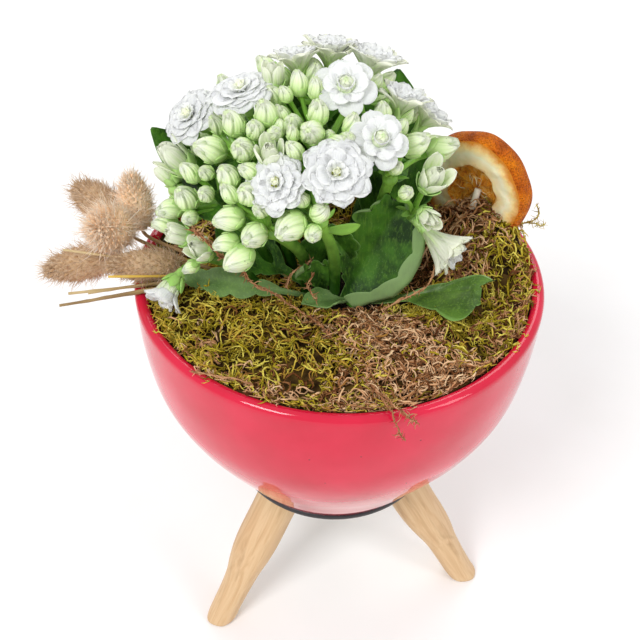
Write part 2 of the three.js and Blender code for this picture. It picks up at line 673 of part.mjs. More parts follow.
function mossHeight(x, y, random) {
  const heap = heaps.reduce((sum, [cx, cy, high, wide]) =>
    sum + high * Math.exp(-((x - cx) ** 2 + (y - cy) ** 2) / (2 * wide * wide)), 0);
  const waves = Math.sin(x / 5.1 + 1.3 * Math.sin(y / 7)) + Math.cos(y / 4.3 + Math.sin(x / 6));
  const level = 174.4 - 4.5 * Math.max(0, 1 - (Math.hypot(x, y) - 22) / 20);
  return Math.max(level + heap + 0.9 * waves + 2.4 * (random() - 0.5), soilTop + 1.5);
}

function mossSolid({ from, to, inner = 24, seed }, grow) {
  const random = dice(seed);
  const columns = Math.round(Math.abs(to - from) / 11);
  const rings = 4;
  const rows = [];
  for (let k = 0; k <= columns; k++) {
    const end = k === 0 ? -1 : k === columns ? 1 : 0;
    rows.push(Array.from({ length: rings + 1 }, (_, j) => {
      const edge = j === 0 || j === rings || end !== 0;
      const radius = inner + ((mossOuter - inner) * j) / rings + (j === 0 ? -grow : 0);
      const bearing = rad(from + ((to - from) * k) / columns) + (end * grow) / radius;
      const x = radius * Math.cos(bearing);
      const y = radius * Math.sin(bearing);
      return at(x, y, mossHeight(x, y, random) - (edge ? 2 : 0) + grow);
    }));
  }
  const top = rows.flat();
  const n = top.length;
  const wide = rings + 1;
  const faces = [];
  for (let k = 0; k < columns; k++) {
    for (let j = 0; j < rings; j++) {
      const a = k * wide + j;
      faces.push([a, a + 1, a + wide + 1], [a, a + wide + 1, a + wide]);
    }
  }
  const rim = [];
  for (let j = 0; j < rings; j++) rim.push([j + 1, j], [columns * wide + j, columns * wide + j + 1]);
  for (let k = 0; k < columns; k++) {
    rim.push([k * wide, (k + 1) * wide], [(k + 2) * wide - 1, (k + 1) * wide - 1]);
  }
  const below = top.map((p) => at(p.x, p.y, soilTop + GAP - grow));
  const shell = faces.flatMap(([a, b, c]) => [a, b, c, a + n, c + n, b + n]);
  for (const [p, q] of rim) shell.push(p, q, q + n, p, q + n, p + n);
  return skin([...top, ...below], shell);
}

const cushions = {
  moss_left: [{ from: -297.5, to: -92, seed: 21 }, greenMoss],
  moss_front: [{ from: -91.5, to: -42, seed: 22 }, brownMoss],
  moss_right: [{ from: -41.5, to: -2, seed: 23 }, greenMoss],
  moss_back_right: [{ from: -1.5, to: 62, seed: 24 }, brownMoss],
};
for (const [name, [cushion, material]] of Object.entries(cushions)) {
  const middle = heading((cushion.from + cushion.to) / 2, 0).multiplyScalar(50).setZ(soilTop);
  seat(name, (grow) => mossSolid(cushion, grow), material, middle);
}

// Soil: fills the bowl to just under the moss, with a hole round every stem
function soilSolid() {
  const wallIn = inside.filter((p) => p.y > floorZ && p.y < soilTop - 4).reverse().filter((_, i) => i % 2);
  const profile = [
    new THREE.Vector2(0, floorZ + GAP), new THREE.Vector2(inside.at(-1).x - 1, floorZ + GAP),
    ...wallIn.map((p) => new THREE.Vector2(p.x - GAP, p.y)),
    new THREE.Vector2(bowl.rim - bowl.wall - 1.2, soilTop - 1.5), new THREE.Vector2(0, soilTop),
  ];
  return lathe(profile, bowl.sides);
}
seat('soil', soilSolid, pottingSoil);

// Centre the arrangement over its footprint, standing on the ground
const box = new THREE.Box3().setFromObject(arrangement);
const middle = box.getCenter(at(0, 0, 0));
arrangement.position.set(-middle.x, -middle.y, -box.min.z);
const kalanchoe = new THREE.Group();
kalanchoe.add(arrangement);
kalanchoe.updateMatrixWorld(true);

export default kalanchoe;
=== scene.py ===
import math

import bpy
import numpy as np
from mathutils import Matrix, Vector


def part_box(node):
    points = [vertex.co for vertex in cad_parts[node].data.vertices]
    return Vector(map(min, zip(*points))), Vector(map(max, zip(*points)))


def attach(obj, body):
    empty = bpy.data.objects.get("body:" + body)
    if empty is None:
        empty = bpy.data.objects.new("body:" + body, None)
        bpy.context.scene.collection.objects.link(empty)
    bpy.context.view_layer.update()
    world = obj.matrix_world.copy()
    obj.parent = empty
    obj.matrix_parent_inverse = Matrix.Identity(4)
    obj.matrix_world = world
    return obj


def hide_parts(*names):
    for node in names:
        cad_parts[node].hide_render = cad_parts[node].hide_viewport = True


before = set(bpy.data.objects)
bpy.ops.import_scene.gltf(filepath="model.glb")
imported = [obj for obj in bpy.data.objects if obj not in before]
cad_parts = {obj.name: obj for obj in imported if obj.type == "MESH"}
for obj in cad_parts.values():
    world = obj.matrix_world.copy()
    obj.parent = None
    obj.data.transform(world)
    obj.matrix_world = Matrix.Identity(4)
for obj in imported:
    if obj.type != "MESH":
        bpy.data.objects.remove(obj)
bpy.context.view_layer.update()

# The shapes below are in millimetres round the bowl's axis, as in the part's source. The whole
# arrangement stands a little to the right of the frame's origin.
MM = 0.001
bowl_low, bowl_high = (np.array(corner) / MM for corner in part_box("bowl"))
AXIS = (bowl_low + bowl_high) / 2 * [1, 1, 0]
RIM_Z, BOWL_RIM = np.round([bowl_high[2], (bowl_high[0] - bowl_low[0]) / 2], 2)
BOWL_FOOT = round(bowl_low[2], 2)
BOWL_WALL = 5.0
SOIL_TOP = round(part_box("soil")[1].z / MM, 2)
DISC_UNDER, DISC_TOP = (round(corner.z / MM, 2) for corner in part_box("mounting_disc"))
CROWN_HEART = np.array([-12.0, 8.0, 193.0])
CROWN_RADII = np.array([56.0, 50.0, 64.0])
GOLDEN_TURN = 2.39996


# Camera: above and in front, as the photo was taken
VIEW_DOWN = math.radians(42.8)
VIEW_ROLL = math.radians(1.5)
CAMERA_AT = np.array([-7.1, -308.17, 434.27])
FOCAL_PIXELS, FRAME_PIXELS = 1022, 640
look = np.array([0, math.cos(VIEW_DOWN), -math.sin(VIEW_DOWN)])
level_up = np.array([0, math.sin(VIEW_DOWN), math.cos(VIEW_DOWN)])
level_right = np.array([1.0, 0, 0])
right = math.cos(VIEW_ROLL) * level_right + math.sin(VIEW_ROLL) * level_up
up = math.cos(VIEW_ROLL) * level_up - math.sin(VIEW_ROLL) * level_right

lens = bpy.data.cameras.new("camera")
lens.sensor_width = 36
lens.lens = lens.sensor_width * FOCAL_PIXELS / FRAME_PIXELS
lens.clip_start = 0.01
camera = bpy.data.objects.new("camera", lens)
bpy.context.scene.collection.objects.link(camera)
turn = Matrix([[right[i], up[i], -look[i]] for i in range(3)])
camera.matrix_world = Matrix.Translation((CAMERA_AT + AXIS) * MM) @ turn.to_4x4()
bpy.context.scene.camera = camera


# Small maths helpers
def unit(v):
    v = np.asarray(v, float)
    return v / np.maximum(np.linalg.norm(v, axis=-1, keepdims=True), 1e-9)


def heading(bearing, rise=0.0):
    b, r = np.radians(bearing), np.radians(rise)
    return np.stack([np.cos(r) * np.cos(b), np.cos(r) * np.sin(b), np.sin(r) + 0 * b], -1)


def on_crown(bearing, rise, out=1.0):
    """A point of the flower crown's dome, and the way the dome faces there."""
    reach = heading(bearing, rise)
    return CROWN_HEART + CROWN_RADII * reach * out, unit(reach / CROWN_RADII)


def across(axis):
    """Two directions square to an axis."""
    side = unit(np.cross([1, 0, 0] if abs(axis[2]) > 0.95 else [0, 0, 1], axis))
    return side, unit(np.cross(axis, side))


def smooth(knots, count):
    """Points along a soft curve through the knots."""
    k = np.asarray(knots, float)
    k = np.vstack([2 * k[0] - k[1], k, 2 * k[-1] - k[-2]])
    t = np.linspace(0, len(k) - 3, count)
    i = np.minimum(t.astype(int), len(k) - 4)
    f = (t - i)[:, None]
    a, b, c, d = k[i], k[i + 1], k[i + 2], k[i + 3]
    return 0.5 * (2 * b + (c - a) * f + (2 * a - 5 * b + 4 * c - d) * f**2 + (3 * b - a - 3 * c + d) * f**3)


def xyz(x, y, z=0.0):
    """Points from their three parts."""
    return np.stack(np.broadcast_arrays(x, y, z), -1)


def humps(x, y, spots):
    """Each round hump's height at x and y. A spot has its middle x and y, its reach and its height."""
    return [high * np.exp(-((x - cx) ** 2 + (y - cy) ** 2) / (2 * reach * reach))
            for cx, cy, reach, high in spots]


def rays(facing, angle):
    """Directions square to an axis, at these angles round it."""
    u, v = across(facing)
    return np.cos(angle)[..., None] * u + np.sin(angle)[..., None] * v


def around(centre, facing, radius, angle, height):
    """Points round an axis, at a radius, an angle and a height along it."""
    u, v = across(facing)
    return (centre + (radius * np.cos(angle))[..., None] * u + (radius * np.sin(angle))[..., None] * v
            + (height + 0 * angle)[..., None] * facing)


def soft_step(x, low, high):
    t = np.clip((x - low) / (high - low), 0, 1)
    return t * t * (3 - 2 * t)


def ripple(p, scale, seed=0.0):
    """A smooth wandering value about 0 for every point, with waves about `scale` mm apart."""
    x, y, z = (np.asarray(p, float) / scale + seed * 1.7).T[:3].reshape(3, *np.shape(p)[:-1][::-1])
    wave = np.sin(2.1 * x + 1.3 * np.sin(1.7 * y + z)) + np.sin(2.3 * y + 1.1 * np.sin(1.9 * z - x))
    return ((wave + np.sin(2.6 * z + 1.2 * np.sin(2.2 * x + y))) / 3).T


# Gathering points and faces into pieces
class Shape:
    """The points, faces and flow of one piece. Flow is what a material follows: across, along, and a lot
    number that tells one strand or petal from the next."""

    def __init__(self):
        self.points, self.flows, self.faces, self.slots = [], [], [], []
        self.count = 0

    def add(self, points, faces, flow=(0, 0, 0), slot=0):
        points = np.asarray(points, float).reshape(-1, 3)
        self.points.append(points)
        flow = np.asarray(flow, float)
        self.flows.append(flow.reshape(-1, 3) if flow.size > 3 else np.tile(flow, (len(points), 1)))
        for block in faces:
            self.faces.append(np.asarray(block) + self.count)
            self.slots.append(slot)
        self.count += len(points)

    def piece(self, name, materials, slot, *nodes):
        """Makes the mesh, rides it on the frame, and hides the CAD nodes that it stands for."""
        mesh = bpy.data.meshes.new(name)
        points = (np.vstack(self.points) + AXIS) * MM
        mesh.vertices.add(len(points))
        mesh.vertices.foreach_set("co", points.astype(np.float32).ravel())
        sizes = np.concatenate([np.full(len(f), f.shape[1]) for f in self.faces])
        corners = np.concatenate([f.ravel() for f in self.faces])
        mesh.loops.add(len(corners))
        mesh.loops.foreach_set("vertex_index", corners.astype(np.int32))
        mesh.polygons.add(len(sizes))
        starts = np.concatenate([[0], np.cumsum(sizes)[:-1]])
        mesh.polygons.foreach_set("loop_start", starts.astype(np.int32))
        chosen = np.concatenate([np.full(len(f), s) for f, s in zip(self.faces, self.slots)])
        mesh.polygons.foreach_set("material_index", chosen.astype(np.int32))
        mesh.update(calc_edges=True)
        mesh.validate()
        flow = mesh.attributes.new("flow", "FLOAT_VECTOR", "POINT")
        flow.data.foreach_set("vector", np.vstack(self.flows).astype(np.float32).ravel())
        mesh.shade_smooth()
        for finish in materials:
            mesh.materials.append(finish)
        made = bpy.data.objects.new(name, mesh)
        bpy.context.scene.collection.objects.link(made)
        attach(made, "root")
        if nodes:
            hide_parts(*nodes)


def lattice(rows, columns, wrap=True):
    """Four-sided faces over rows of points, joined round each row where it wraps."""
    r = np.arange(rows - 1)[:, None]
    c = np.arange(columns if wrap else columns - 1)[None, :]
    d = (c + 1) % columns
    a, b = r * columns + c, r * columns + d
    return np.stack([a, b, b + columns, a + columns], -1).reshape(-1, 4)


def tube(rows, columns):
    """The faces of a tube of points with both its ends closed."""
    ends = np.arange(columns)[None]
    return [lattice(rows, columns), ends[:, ::-1], ends + (rows - 1) * columns]


def blade(shape, top, low, across_it, along_it, lot, slot=0, closed=False):
    """A blade from the rows of points on its two faces."""
    ring = np.concatenate([top, low[:, ::-1]], 1)
    rows, columns = ring.shape[:2]
    flow = np.empty(ring.shape)
    flow[..., 0] = np.concatenate([across_it, across_it[::-1]])
    flow[..., 1] = np.reshape(along_it, (-1, 1))
    flow[..., 2] = lot
    shape.add(ring, tube(rows, columns) if closed else [lattice(rows, columns)], flow, slot)


def strands(shape, paths, radii, sides, lots, slot=0, hint=None, capped=False):
    """Round strands. paths is strands x points x 3, radii strands x points."""
    paths = np.asarray(paths, float)
    n, k, _ = paths.shape
    radii = np.broadcast_to(radii, (n, k))
    tangent = unit(np.gradient(paths, axis=1))
    if hint is None:
        chord = unit(paths[:, -1] - paths[:, 0])
        hint = np.where(np.abs(chord[:, 2:]) > 0.8, [1.0, 0.1, 0], [0.1, 0, 1.0])
    side = unit(np.cross(tangent, np.asarray(hint, float).reshape(-1, 1, 3)))
    other = np.cross(tangent, side)
    angle = 2 * np.pi * np.arange(sides) / sides
    ring = side[:, :, None] * np.cos(angle)[:, None] + other[:, :, None] * np.sin(angle)[:, None]
    points = paths[:, :, None] + ring * radii[..., None, None]
    flow = xyz(angle / (2 * np.pi), np.linspace(0, 1, k)[:, None], np.reshape(lots, (-1, 1, 1)))
    starts = (np.arange(n) * k * sides)[:, None, None]
    faces = tube(k, sides) if capped else [lattice(k, sides)]
    shape.add(points, [(block + starts).reshape(-1, block.shape[1]) for block in faces], flow, slot)


def turned(shape, profile, segments, wobble=None):
    """A form turned round the bowl's axis from a profile of radius and height."""
    radius, height = np.asarray(profile, float).T[..., None]
    angle = 2 * np.pi * np.arange(segments) / segments
    points = xyz(radius * np.cos(angle), radius * np.sin(angle), height)
    if wobble is not None:
        points = points + wobble(points)
    length = np.cumsum(np.linalg.norm(np.diff(profile, axis=0, prepend=profile[:1]), axis=1))
    flow = xyz(angle / (2 * np.pi), (length / length[-1])[:, None])
    shape.add(points, [lattice(len(profile), segments)], flow)


# Materials: colours are sRGB hex, and every pattern's scale comes from a real size in millimetres
def colour(hex_value):
    parts = [((hex_value >> shift) & 255) / 255 for shift in (16, 8, 0)]
    return [p / 12.92 if p <= 0.04045 else ((p + 0.055) / 1.055) ** 2.4 for p in parts] + [1.0]


class Finish:
    """A material in the making. Its patterns lie on the piece in millimetres, or follow the piece's flow."""

    def __init__(self, name, **shader):
        self.made = bpy.data.materials.new(name)
        self.made.use_nodes = True
        self.tree = self.made.node_tree
        self.body = self.tree.nodes["Principled BSDF"]
        for socket, value in shader.items():
            self.body.inputs[socket.replace("_", " ")].default_value = value
        where = self.add("TexCoord").outputs["Object"]
        self.place = self.add("VectorMath", where, (1000, 1000, 1000), operation="MULTIPLY").outputs[0]
        self.flow = self.add("Attribute", attribute_name="flow").outputs["Vector"]

    def add(self, kind, *values, stops=(), **settings):
        """Adds a node with its settings and links. Values fill its sockets in order, and capitalised
        settings fill them by name. The others are its properties, and stops are a ramp's places and
        shades. A texture lies on the piece unless told otherwise."""
        node = self.tree.nodes.new("ShaderNode" + kind)
        for name, value in settings.items():
            if name[0].islower():
                setattr(node, name, value)
        given = list(zip([socket for socket in node.inputs if socket.enabled], values))
        given += [(node.inputs[name], value) for name, value in settings.items() if name[0].isupper()]
        if kind.startswith("Tex") and "Vector" in node.inputs and "Vector" not in settings:
            given.append((node.inputs["Vector"], self.place))
        for socket, value in given:
            self.fill(socket, value)
        for i, (place, shade) in enumerate(stops):
            spots = node.color_ramp.elements
            spot = spots[i] if i < len(spots) else spots.new(place)
            spot.position = place
            spot.color = colour(shade)
        return node

    def fill(self, socket, value):
        """Links a node's first output, or an output, to a socket, or sets the socket to a value."""
        if isinstance(value, bpy.types.Node):
            value = next(output for output in value.outputs if output.enabled)
        if isinstance(value, bpy.types.NodeSocket):
            self.tree.links.new(value, socket)
        else:
            socket.default_value = colour(value) if socket.type == "RGBA" else value

    def done(self, tint, dent=None):
        """The material, with its colour and its dented surface linked to the shader."""
        self.fill(self.body.inputs["Base Color"], tint)
        if dent:
            self.fill(self.body.inputs["Normal"], dent)
        return self.made


def glaze():
    # Stoneware dipped in a glossy red glaze and fired. It pools a little deeper in broad clouds and
    # carries a few pinholes, and its surface is wavy enough to bend the reflections.
    skin = Finish("Red glazed stoneware", Roughness=0.06, IOR=1.5)
    cloud = skin.add("TexNoise", Scale=1 / 26, Detail=3)
    tint = skin.add("ValToRGB", cloud, stops=[(0.3, 0xC40E30), (0.7, 0xD8183F)])
    pit = skin.add("MapRange", skin.add("TexVoronoi", Scale=1 / 9), 0.02, 0.05)
    tint = skin.add("Mix", pit, 0x5E0A16, tint, data_type="RGBA")
    swell = skin.add("TexNoise", Scale=1 / 22, Detail=1.5)
    dent = skin.add("Bump", Height=swell, Strength=0.35, Distance=1.2 * MM)
    dent = skin.add("Bump", Height=pit, Strength=0.3, Distance=0.2 * MM, Normal=dent)
    return skin.done(tint, dent)


def painted_steel():
    # Sheet steel sprayed with satin black enamel: fine orange peel and a faint grey dust.
    skin = Finish("Black sprayed steel", Roughness=0.42)
    dust = skin.add("TexNoise", Scale=1 / 6, Detail=5)
    tint = skin.add("ValToRGB", dust, stops=[(0.4, 0x17161A), (0.75, 0x2A282B)])
    peel = skin.add("TexNoise", Scale=1 / 0.9, Detail=1)
    return skin.done(tint, skin.add("Bump", Height=peel, Strength=0.3, Distance=0.2 * MM))


def screw_steel():
    # Zinc-plated steel screws, rolled and plated: bright, with fine rings from the thread rolling.
    skin = Finish("Zinc plated steel", Metallic=1.0, Roughness=0.32)
    haze = skin.add("TexNoise", Scale=1 / 3, Detail=4)
    tint = skin.add("ValToRGB", haze, stops=[(0.3, 0xA9A79F), (0.7, 0xC9C8C3)])
    rings = skin.add("TexWave", Scale=1 / 6, Distortion=0.5, bands_direction="Z").outputs["Fac"]
    return skin.done(tint, skin.add("Bump", Height=rings, Strength=0.5, Distance=0.3 * MM))


def leg_wood():
    # Peeled and hand-shaved pale hardwood, oiled. Flow holds the place inside the leg, so the grain runs
    # along it: broad honey bands 3 mm apart, brown streaks and a few knots.
    skin = Finish("Shaved pale hardwood", Roughness=0.5, IOR=1.45)
    grain, stretch, knots = (skin.add("Mapping", Vector=skin.flow, Scale=(1, 1, share))
                             for share in (0.07, 0.16, 0.55))
    bands = skin.add("TexNoise", Vector=grain, Scale=1 / 2.6, Detail=6, Roughness=0.6, Distortion=0.8)
    tint = skin.add("ValToRGB", bands,
                    stops=[(0.25, 0xBE9A70), (0.42, 0xD0AC80), (0.6, 0xDCBC92), (0.8, 0xCFA878)])
    stain = skin.add("TexNoise", Vector=stretch, Scale=1 / 7.5, Detail=4, Distortion=1.6)
    streaks = skin.add("MapRange", stain, 0.54, 0.72, 0, 0.5)
    spots = skin.add("MapRange", skin.add("TexVoronoi", Vector=knots, Scale=1 / 27), 0.09, 0.15, 0.5, 0)
    for share, shade in ((streaks, 0x9A7044), (spots, 0x7A4A22)):
        tint = skin.add("Mix", share, tint, shade, data_type="RGBA")
    fine = skin.add("TexNoise", Vector=grain, Scale=1 / 0.5, Detail=3)
    dent = skin.add("Bump", Height=fine, Strength=0.3, Distance=0.3 * MM)
    dent = skin.add("Bump", Height=stain, Strength=0.4, Distance=1.0 * MM, Normal=dent)
    return skin.done(tint, dent)


def petal_skin(name, tip, throat, throat_end):
    # Living petal: soft white flesh, greener in the throat, with green stripes that run up out of it, fine
    # lengthwise veins about 0.6 mm apart and a velvety sheen.
    skin = Finish(name, Roughness=0.55, IOR=1.4, Subsurface_Weight=0.5, Subsurface_Scale=0.0016,
                  Subsurface_Radius=(1.0, 1.0, 0.85), Sheen_Weight=0.15)
    across_it, along_it, _ = skin.add("SeparateXYZ", skin.flow).outputs
    tint = skin.add("ValToRGB", along_it, stops=[(0.0, throat), (throat_end, tip), (1.0, tip)])
    swing = skin.add("Math", skin.add("Math", across_it, 9.0, operation="MULTIPLY"), operation="COSINE")
    bars = skin.add("MapRange", swing, 0.1, 1, 0, 0.7)
    fade = skin.add("MapRange", along_it, throat_end * 0.5, throat_end * 1.2, 1, 0)
    bars = skin.add("Math", bars, fade, operation="MULTIPLY")
    cloud = skin.add("MapRange", skin.add("TexNoise", Scale=1 / 2.2, Detail=3), 0.4, 0.75, 0, 0.06)
    for share in (bars, cloud):
        tint = skin.add("Mix", share, tint, throat, data_type="RGBA")
    veins = skin.add("Math", skin.add("Math", across_it, 26.0, operation="MULTIPLY"), operation="SINE")
    return skin.done(tint, skin.add("Bump", Height=veins, Strength=0.25, Distance=0.12 * MM))


def bud_skin():
    # Closed bud: waxy, pale green with darker lines where the petals and sepals overlap, whiter towards
    # the tip, and a few pin-size brown specks.
    skin = Finish("Waxy bud skin", Roughness=0.38, IOR=1.42, Subsurface_Weight=0.25, Subsurface_Scale=0.0015,
                  Subsurface_Radius=(0.8, 1.0, 0.4))
    across_it, along_it, _ = skin.add("SeparateXYZ", skin.flow).outputs
    tint = skin.add("ValToRGB", along_it, stops=[(0.0, 0x98C660), (0.25, 0xC6E196), (0.6, 0xE0F0BE),
                                                 (0.9, 0xEEF6D8), (1.0, 0xD6E7B4)])
    margin = skin.add("MapRange", skin.add("Math", across_it, operation="ABSOLUTE"), 0.8, 1, 0, 0.45)
    streaks = skin.add("Math", skin.add("Math", across_it, 11.0, operation="MULTIPLY"), operation="SINE")
    lines = skin.add("MapRange", streaks, 0.2, 1, 0, 0.14)
    specks = skin.add("MapRange", skin.add("TexVoronoi", Scale=1 / 3.4), 0.045, 0.085, 0.75, 0)
    for share, shade in ((margin, 0x98C463), (lines, 0xA8D078), (specks, 0x54502C)):
        tint = skin.add("Mix", share, tint, shade, data_type="RGBA")
    return skin.done(tint, skin.add("Bump", Height=streaks, Strength=0.3, Distance=0.2 * MM))


def stem_skin(name, low, high):
    # Watery succulent stalk: waxy green, with faint lengthwise ridges. Painted shade darkens it by height,
    # deepest low down under the crown, so it pales up towards the flowers.
    skin = Finish(name, Roughness=0.36, IOR=1.42, Subsurface_Weight=0.15, Subsurface_Scale=0.001,
                  Subsurface_Radius=(0.6, 1.0, 0.3))
    height = skin.add("SeparateXYZ", skin.place).outputs["Z"]
    mottle = skin.add("TexNoise", Scale=1 / 3.5, Detail=4)
    # Painted shade by height: the low colour stands for the stalk in the crown's shade
    rise = skin.add("MapRange", height, 176, 238)
    mixed = skin.add("Math", mottle, 0.5, rise, operation="MULTIPLY_ADD")
    tint = skin.add("ValToRGB", mixed, stops=[(0.35, low), (1.0, high)])
    turns = skin.add("Math", skin.add("SeparateXYZ", skin.flow), 37.7, operation="MULTIPLY")
    ridges = skin.add("Math", turns, operation="SINE")
    return skin.done(tint, skin.add("Bump", Height=ridges, Strength=0.25, Distance=0.2 * MM))


# What makes each part of a leaf's bright green a little paler
PALER = 0x2C261A


def leaf_skin(name, deep, bright, bloom, bloom_share, margin_and_highlight_share=0.8):
    # Thick waxy leaf: deep green in patches whose dark and bright ends are spread wide as painted shade and
    # light, paler at the margin, partly its own colour and partly a painted highlight along the rim, with
    # pale pin-prick glands about 1 mm apart, fine slanting striations, soft sunken veins and a greyish wax
    # bloom in patches. Its underside is pale.
    skin = Finish(name, Roughness=0.36, IOR=1.45, Specular_IOR_Level=0.3)
    across_it, _, underside = skin.add("SeparateXYZ", skin.flow).outputs
    # Painted light and shade: the patches' dark and bright greens also stand for shaded and lit parts of the
    # blade
    cloud = skin.add("TexNoise", Scale=1 / 9, Detail=4)
    tint = skin.add("ValToRGB", cloud, stops=[(0.4, deep), (0.62, bright)])
    # Partly painted highlight: the pale margin also stands for light catching the rim
    margin_and_highlight = skin.add("MapRange", skin.add("Math", across_it, operation="ABSOLUTE"), 0.9, 1, 0, margin_and_highlight_share)
    wax = skin.add("TexNoise", Scale=1 / 16, Detail=5, Roughness=0.65)
    wax = skin.add("MapRange", wax, 0.4, 0.66, bloom_share * 0.4, bloom_share)
    slant = skin.add("Mapping", Vector=skin.place, Rotation=(0.5, 0.7, 0.0), Scale=(1.0, 1.0, 0.14))
    fibres = skin.add("TexNoise", Vector=slant, Scale=1 / 0.8, Detail=4)
    fibres = skin.add("MapRange", fibres, 0.5, 0.68, 0, 0.38)
    glands = skin.add("MapRange", skin.add("TexVoronoi", Scale=1 / 0.95), 0.08, 0.2, 0.32, 0)
    under = skin.add("MapRange", underside, 0.3, 0.7, 0, 0.75)
    for share, shade in ((margin_and_highlight, 0x7FAE58), (wax, bloom), (fibres, bright + PALER), (glands, 0x9CC08A),
                         (under, 0x90AC74)):
        tint = skin.add("Mix", share, tint, shade, data_type="RGBA")
    swell = skin.add("TexNoise", Scale=1 / 5, Detail=5, Roughness=0.6)
    return skin.done(tint, skin.add("Bump", Height=swell, Strength=0.35, Distance=0.7 * MM))


def dry_strand(name, shades, roughness=0.85, root_shade=0.45):
    # Dried or living strands, each of its own shade by lot number, with a fine tooth. Towards the root each
    # is darker, partly its own darker base and partly painted shade deep among the others, and it pales where
    # it thins out.
    skin = Finish(name, Roughness=roughness, IOR=1.4, Specular_IOR_Level=0.2)
    _, along_it, lot = skin.add("SeparateXYZ", skin.flow).outputs
    patches = skin.add("TexNoise", Scale=1 / 11, Detail=3)
    lots = skin.add("Math", lot, 0.62, 0.05, operation="MULTIPLY_ADD")
    mixed = skin.add("Math", patches, 0.5, lots, operation="MULTIPLY_ADD")
    tint = skin.add("ValToRGB", mixed, stops=shades)
    # Painted shade at the root, partly the strand's own darker base
    root = skin.add("MapRange", along_it, 0, 0.3, root_shade, 0)
    tint = skin.add("Mix", root, tint, shades[0][1], data_type="RGBA")
    tooth = skin.add("TexNoise", Scale=1 / 0.4, Detail=2)
    return skin.done(tint, skin.add("Bump", Height=tooth, Strength=0.5, Distance=0.2 * MM))


def crumbs_skin():
    # Damp peat: near black with brown fibre flecks 1 to 2 mm long.
    skin = Finish("Damp peat soil", Roughness=0.92)
    flecks = skin.add("TexNoise", Scale=1 / 1.6, Detail=6, Roughness=0.7)
    tint = skin.add("ValToRGB", flecks, stops=[(0.35, 0x120C08), (0.55, 0x2C1D13), (0.7, 0x57402C)])
    return skin.done(tint, skin.add("Bump", Height=flecks, Strength=0.9, Distance=1.2 * MM))


def orange_peel():
    # Oven-dried orange rind: leathery burnt orange with oil pits 0.8 mm apart and brown scorched patches.
    skin = Finish("Dried orange rind", Roughness=0.62, IOR=1.42, Specular_IOR_Level=0.25)
    scorch = skin.add("TexNoise", Scale=1 / 8, Detail=5)
    tint = skin.add("ValToRGB", scorch, stops=[(0.3, 0x9C4400), (0.5, 0xCC6400), (0.72, 0xE88200)])
    pits = skin.add("TexVoronoi", Scale=1 / 0.7, feature="SMOOTH_F1")
    pit = skin.add("MapRange", pits, 0, 0.35, 0.32, 0)
    tint = skin.add("Mix", pit, tint, 0x6E3000, data_type="RGBA")
    return skin.done(tint, skin.add("Bump", Height=pits, Strength=1.0, Distance=1.8 * MM))


def orange_pith():
    # Dried pith: spongy cream, toasted to amber near the rind, with soft dimples 2 mm apart. Flow's second
    # number runs from the slice's middle to its rind.
    skin = Finish("Dried orange pith", Roughness=0.75, IOR=1.4, Subsurface_Weight=0.15,
                  Subsurface_Scale=0.001)
    outward = skin.add("SeparateXYZ", skin.flow).outputs["Y"]
    toast = skin.add("TexNoise", Scale=1 / 5, Detail=5, Roughness=0.65)
    mixed = skin.add("Math", toast, 0.55, outward, operation="MULTIPLY_ADD")
    tint = skin.add("ValToRGB", skin.add("MapRange", mixed, 0.2, 1.35),
                    stops=[(0.0, 0xE0A04C), (0.16, 0xFFE4AE), (0.45, 0xFFF6D4), (0.68, 0xFFDE9A),
                           (0.9, 0xDC8A2C)])
    dimples = skin.add("TexNoise", Scale=1 / 1.8, Detail=4)
    return skin.done(tint, skin.add("Bump", Height=dimples, Strength=0.5, Distance=0.8 * MM))


def orange_pulp():
    # Dried pulp: sticky, shrunken amber-brown membranes with a wet gloss. The folds that dent it also colour
    # it, so its hollows are dark, partly painted shade, and its crests pale.
    skin = Finish("Dried orange pulp", Roughness=0.3, IOR=1.45)
    folds_and_shade = skin.add("TexNoise", Scale=1 / 2.4, Detail=7, Roughness=0.7, Distortion=1.2)
    # Partly painted shade: the colour follows the same folds as the dents, darkest in the hollows
    tint = skin.add("ValToRGB", folds_and_shade,
                    stops=[(0.28, 0x8A3404), (0.4, 0xE07A14), (0.53, 0xFFB032), (0.68, 0xFFDC98)])
    return skin.done(tint, skin.add("Bump", Height=folds_and_shade, Strength=1.0, Distance=2.0 * MM))


def floor_paint():
    # Matt white studio floor, rolled on, with a barely visible mottle.
    skin = Finish("Matt white floor", Roughness=0.9)
    mottle = skin.add("TexNoise", Scale=1 / 60, Detail=3)
    return skin.done(skin.add("ValToRGB", mottle, stops=[(0.3, 0xF7F7F6), (0.7, 0xFAFAFA)]))


RED_GLAZE = glaze()
BLACK_STEEL = painted_steel()
SCREW_STEEL = screw_steel()
LEG_WOOD = leg_wood()
WHITE_PETAL = petal_skin("White kalanchoe petal", 0xF1F3F1, 0xE2ECC4, 0.22)
CREAM_PETAL = petal_skin("Cream kalanchoe petal", 0xF9FCDE, 0xC2E686, 0.66)
HEART_PETAL = petal_skin("Furled kalanchoe petal", 0xEFF5D6, 0xBADB88, 0.8)
BUD_SKIN = bud_skin()
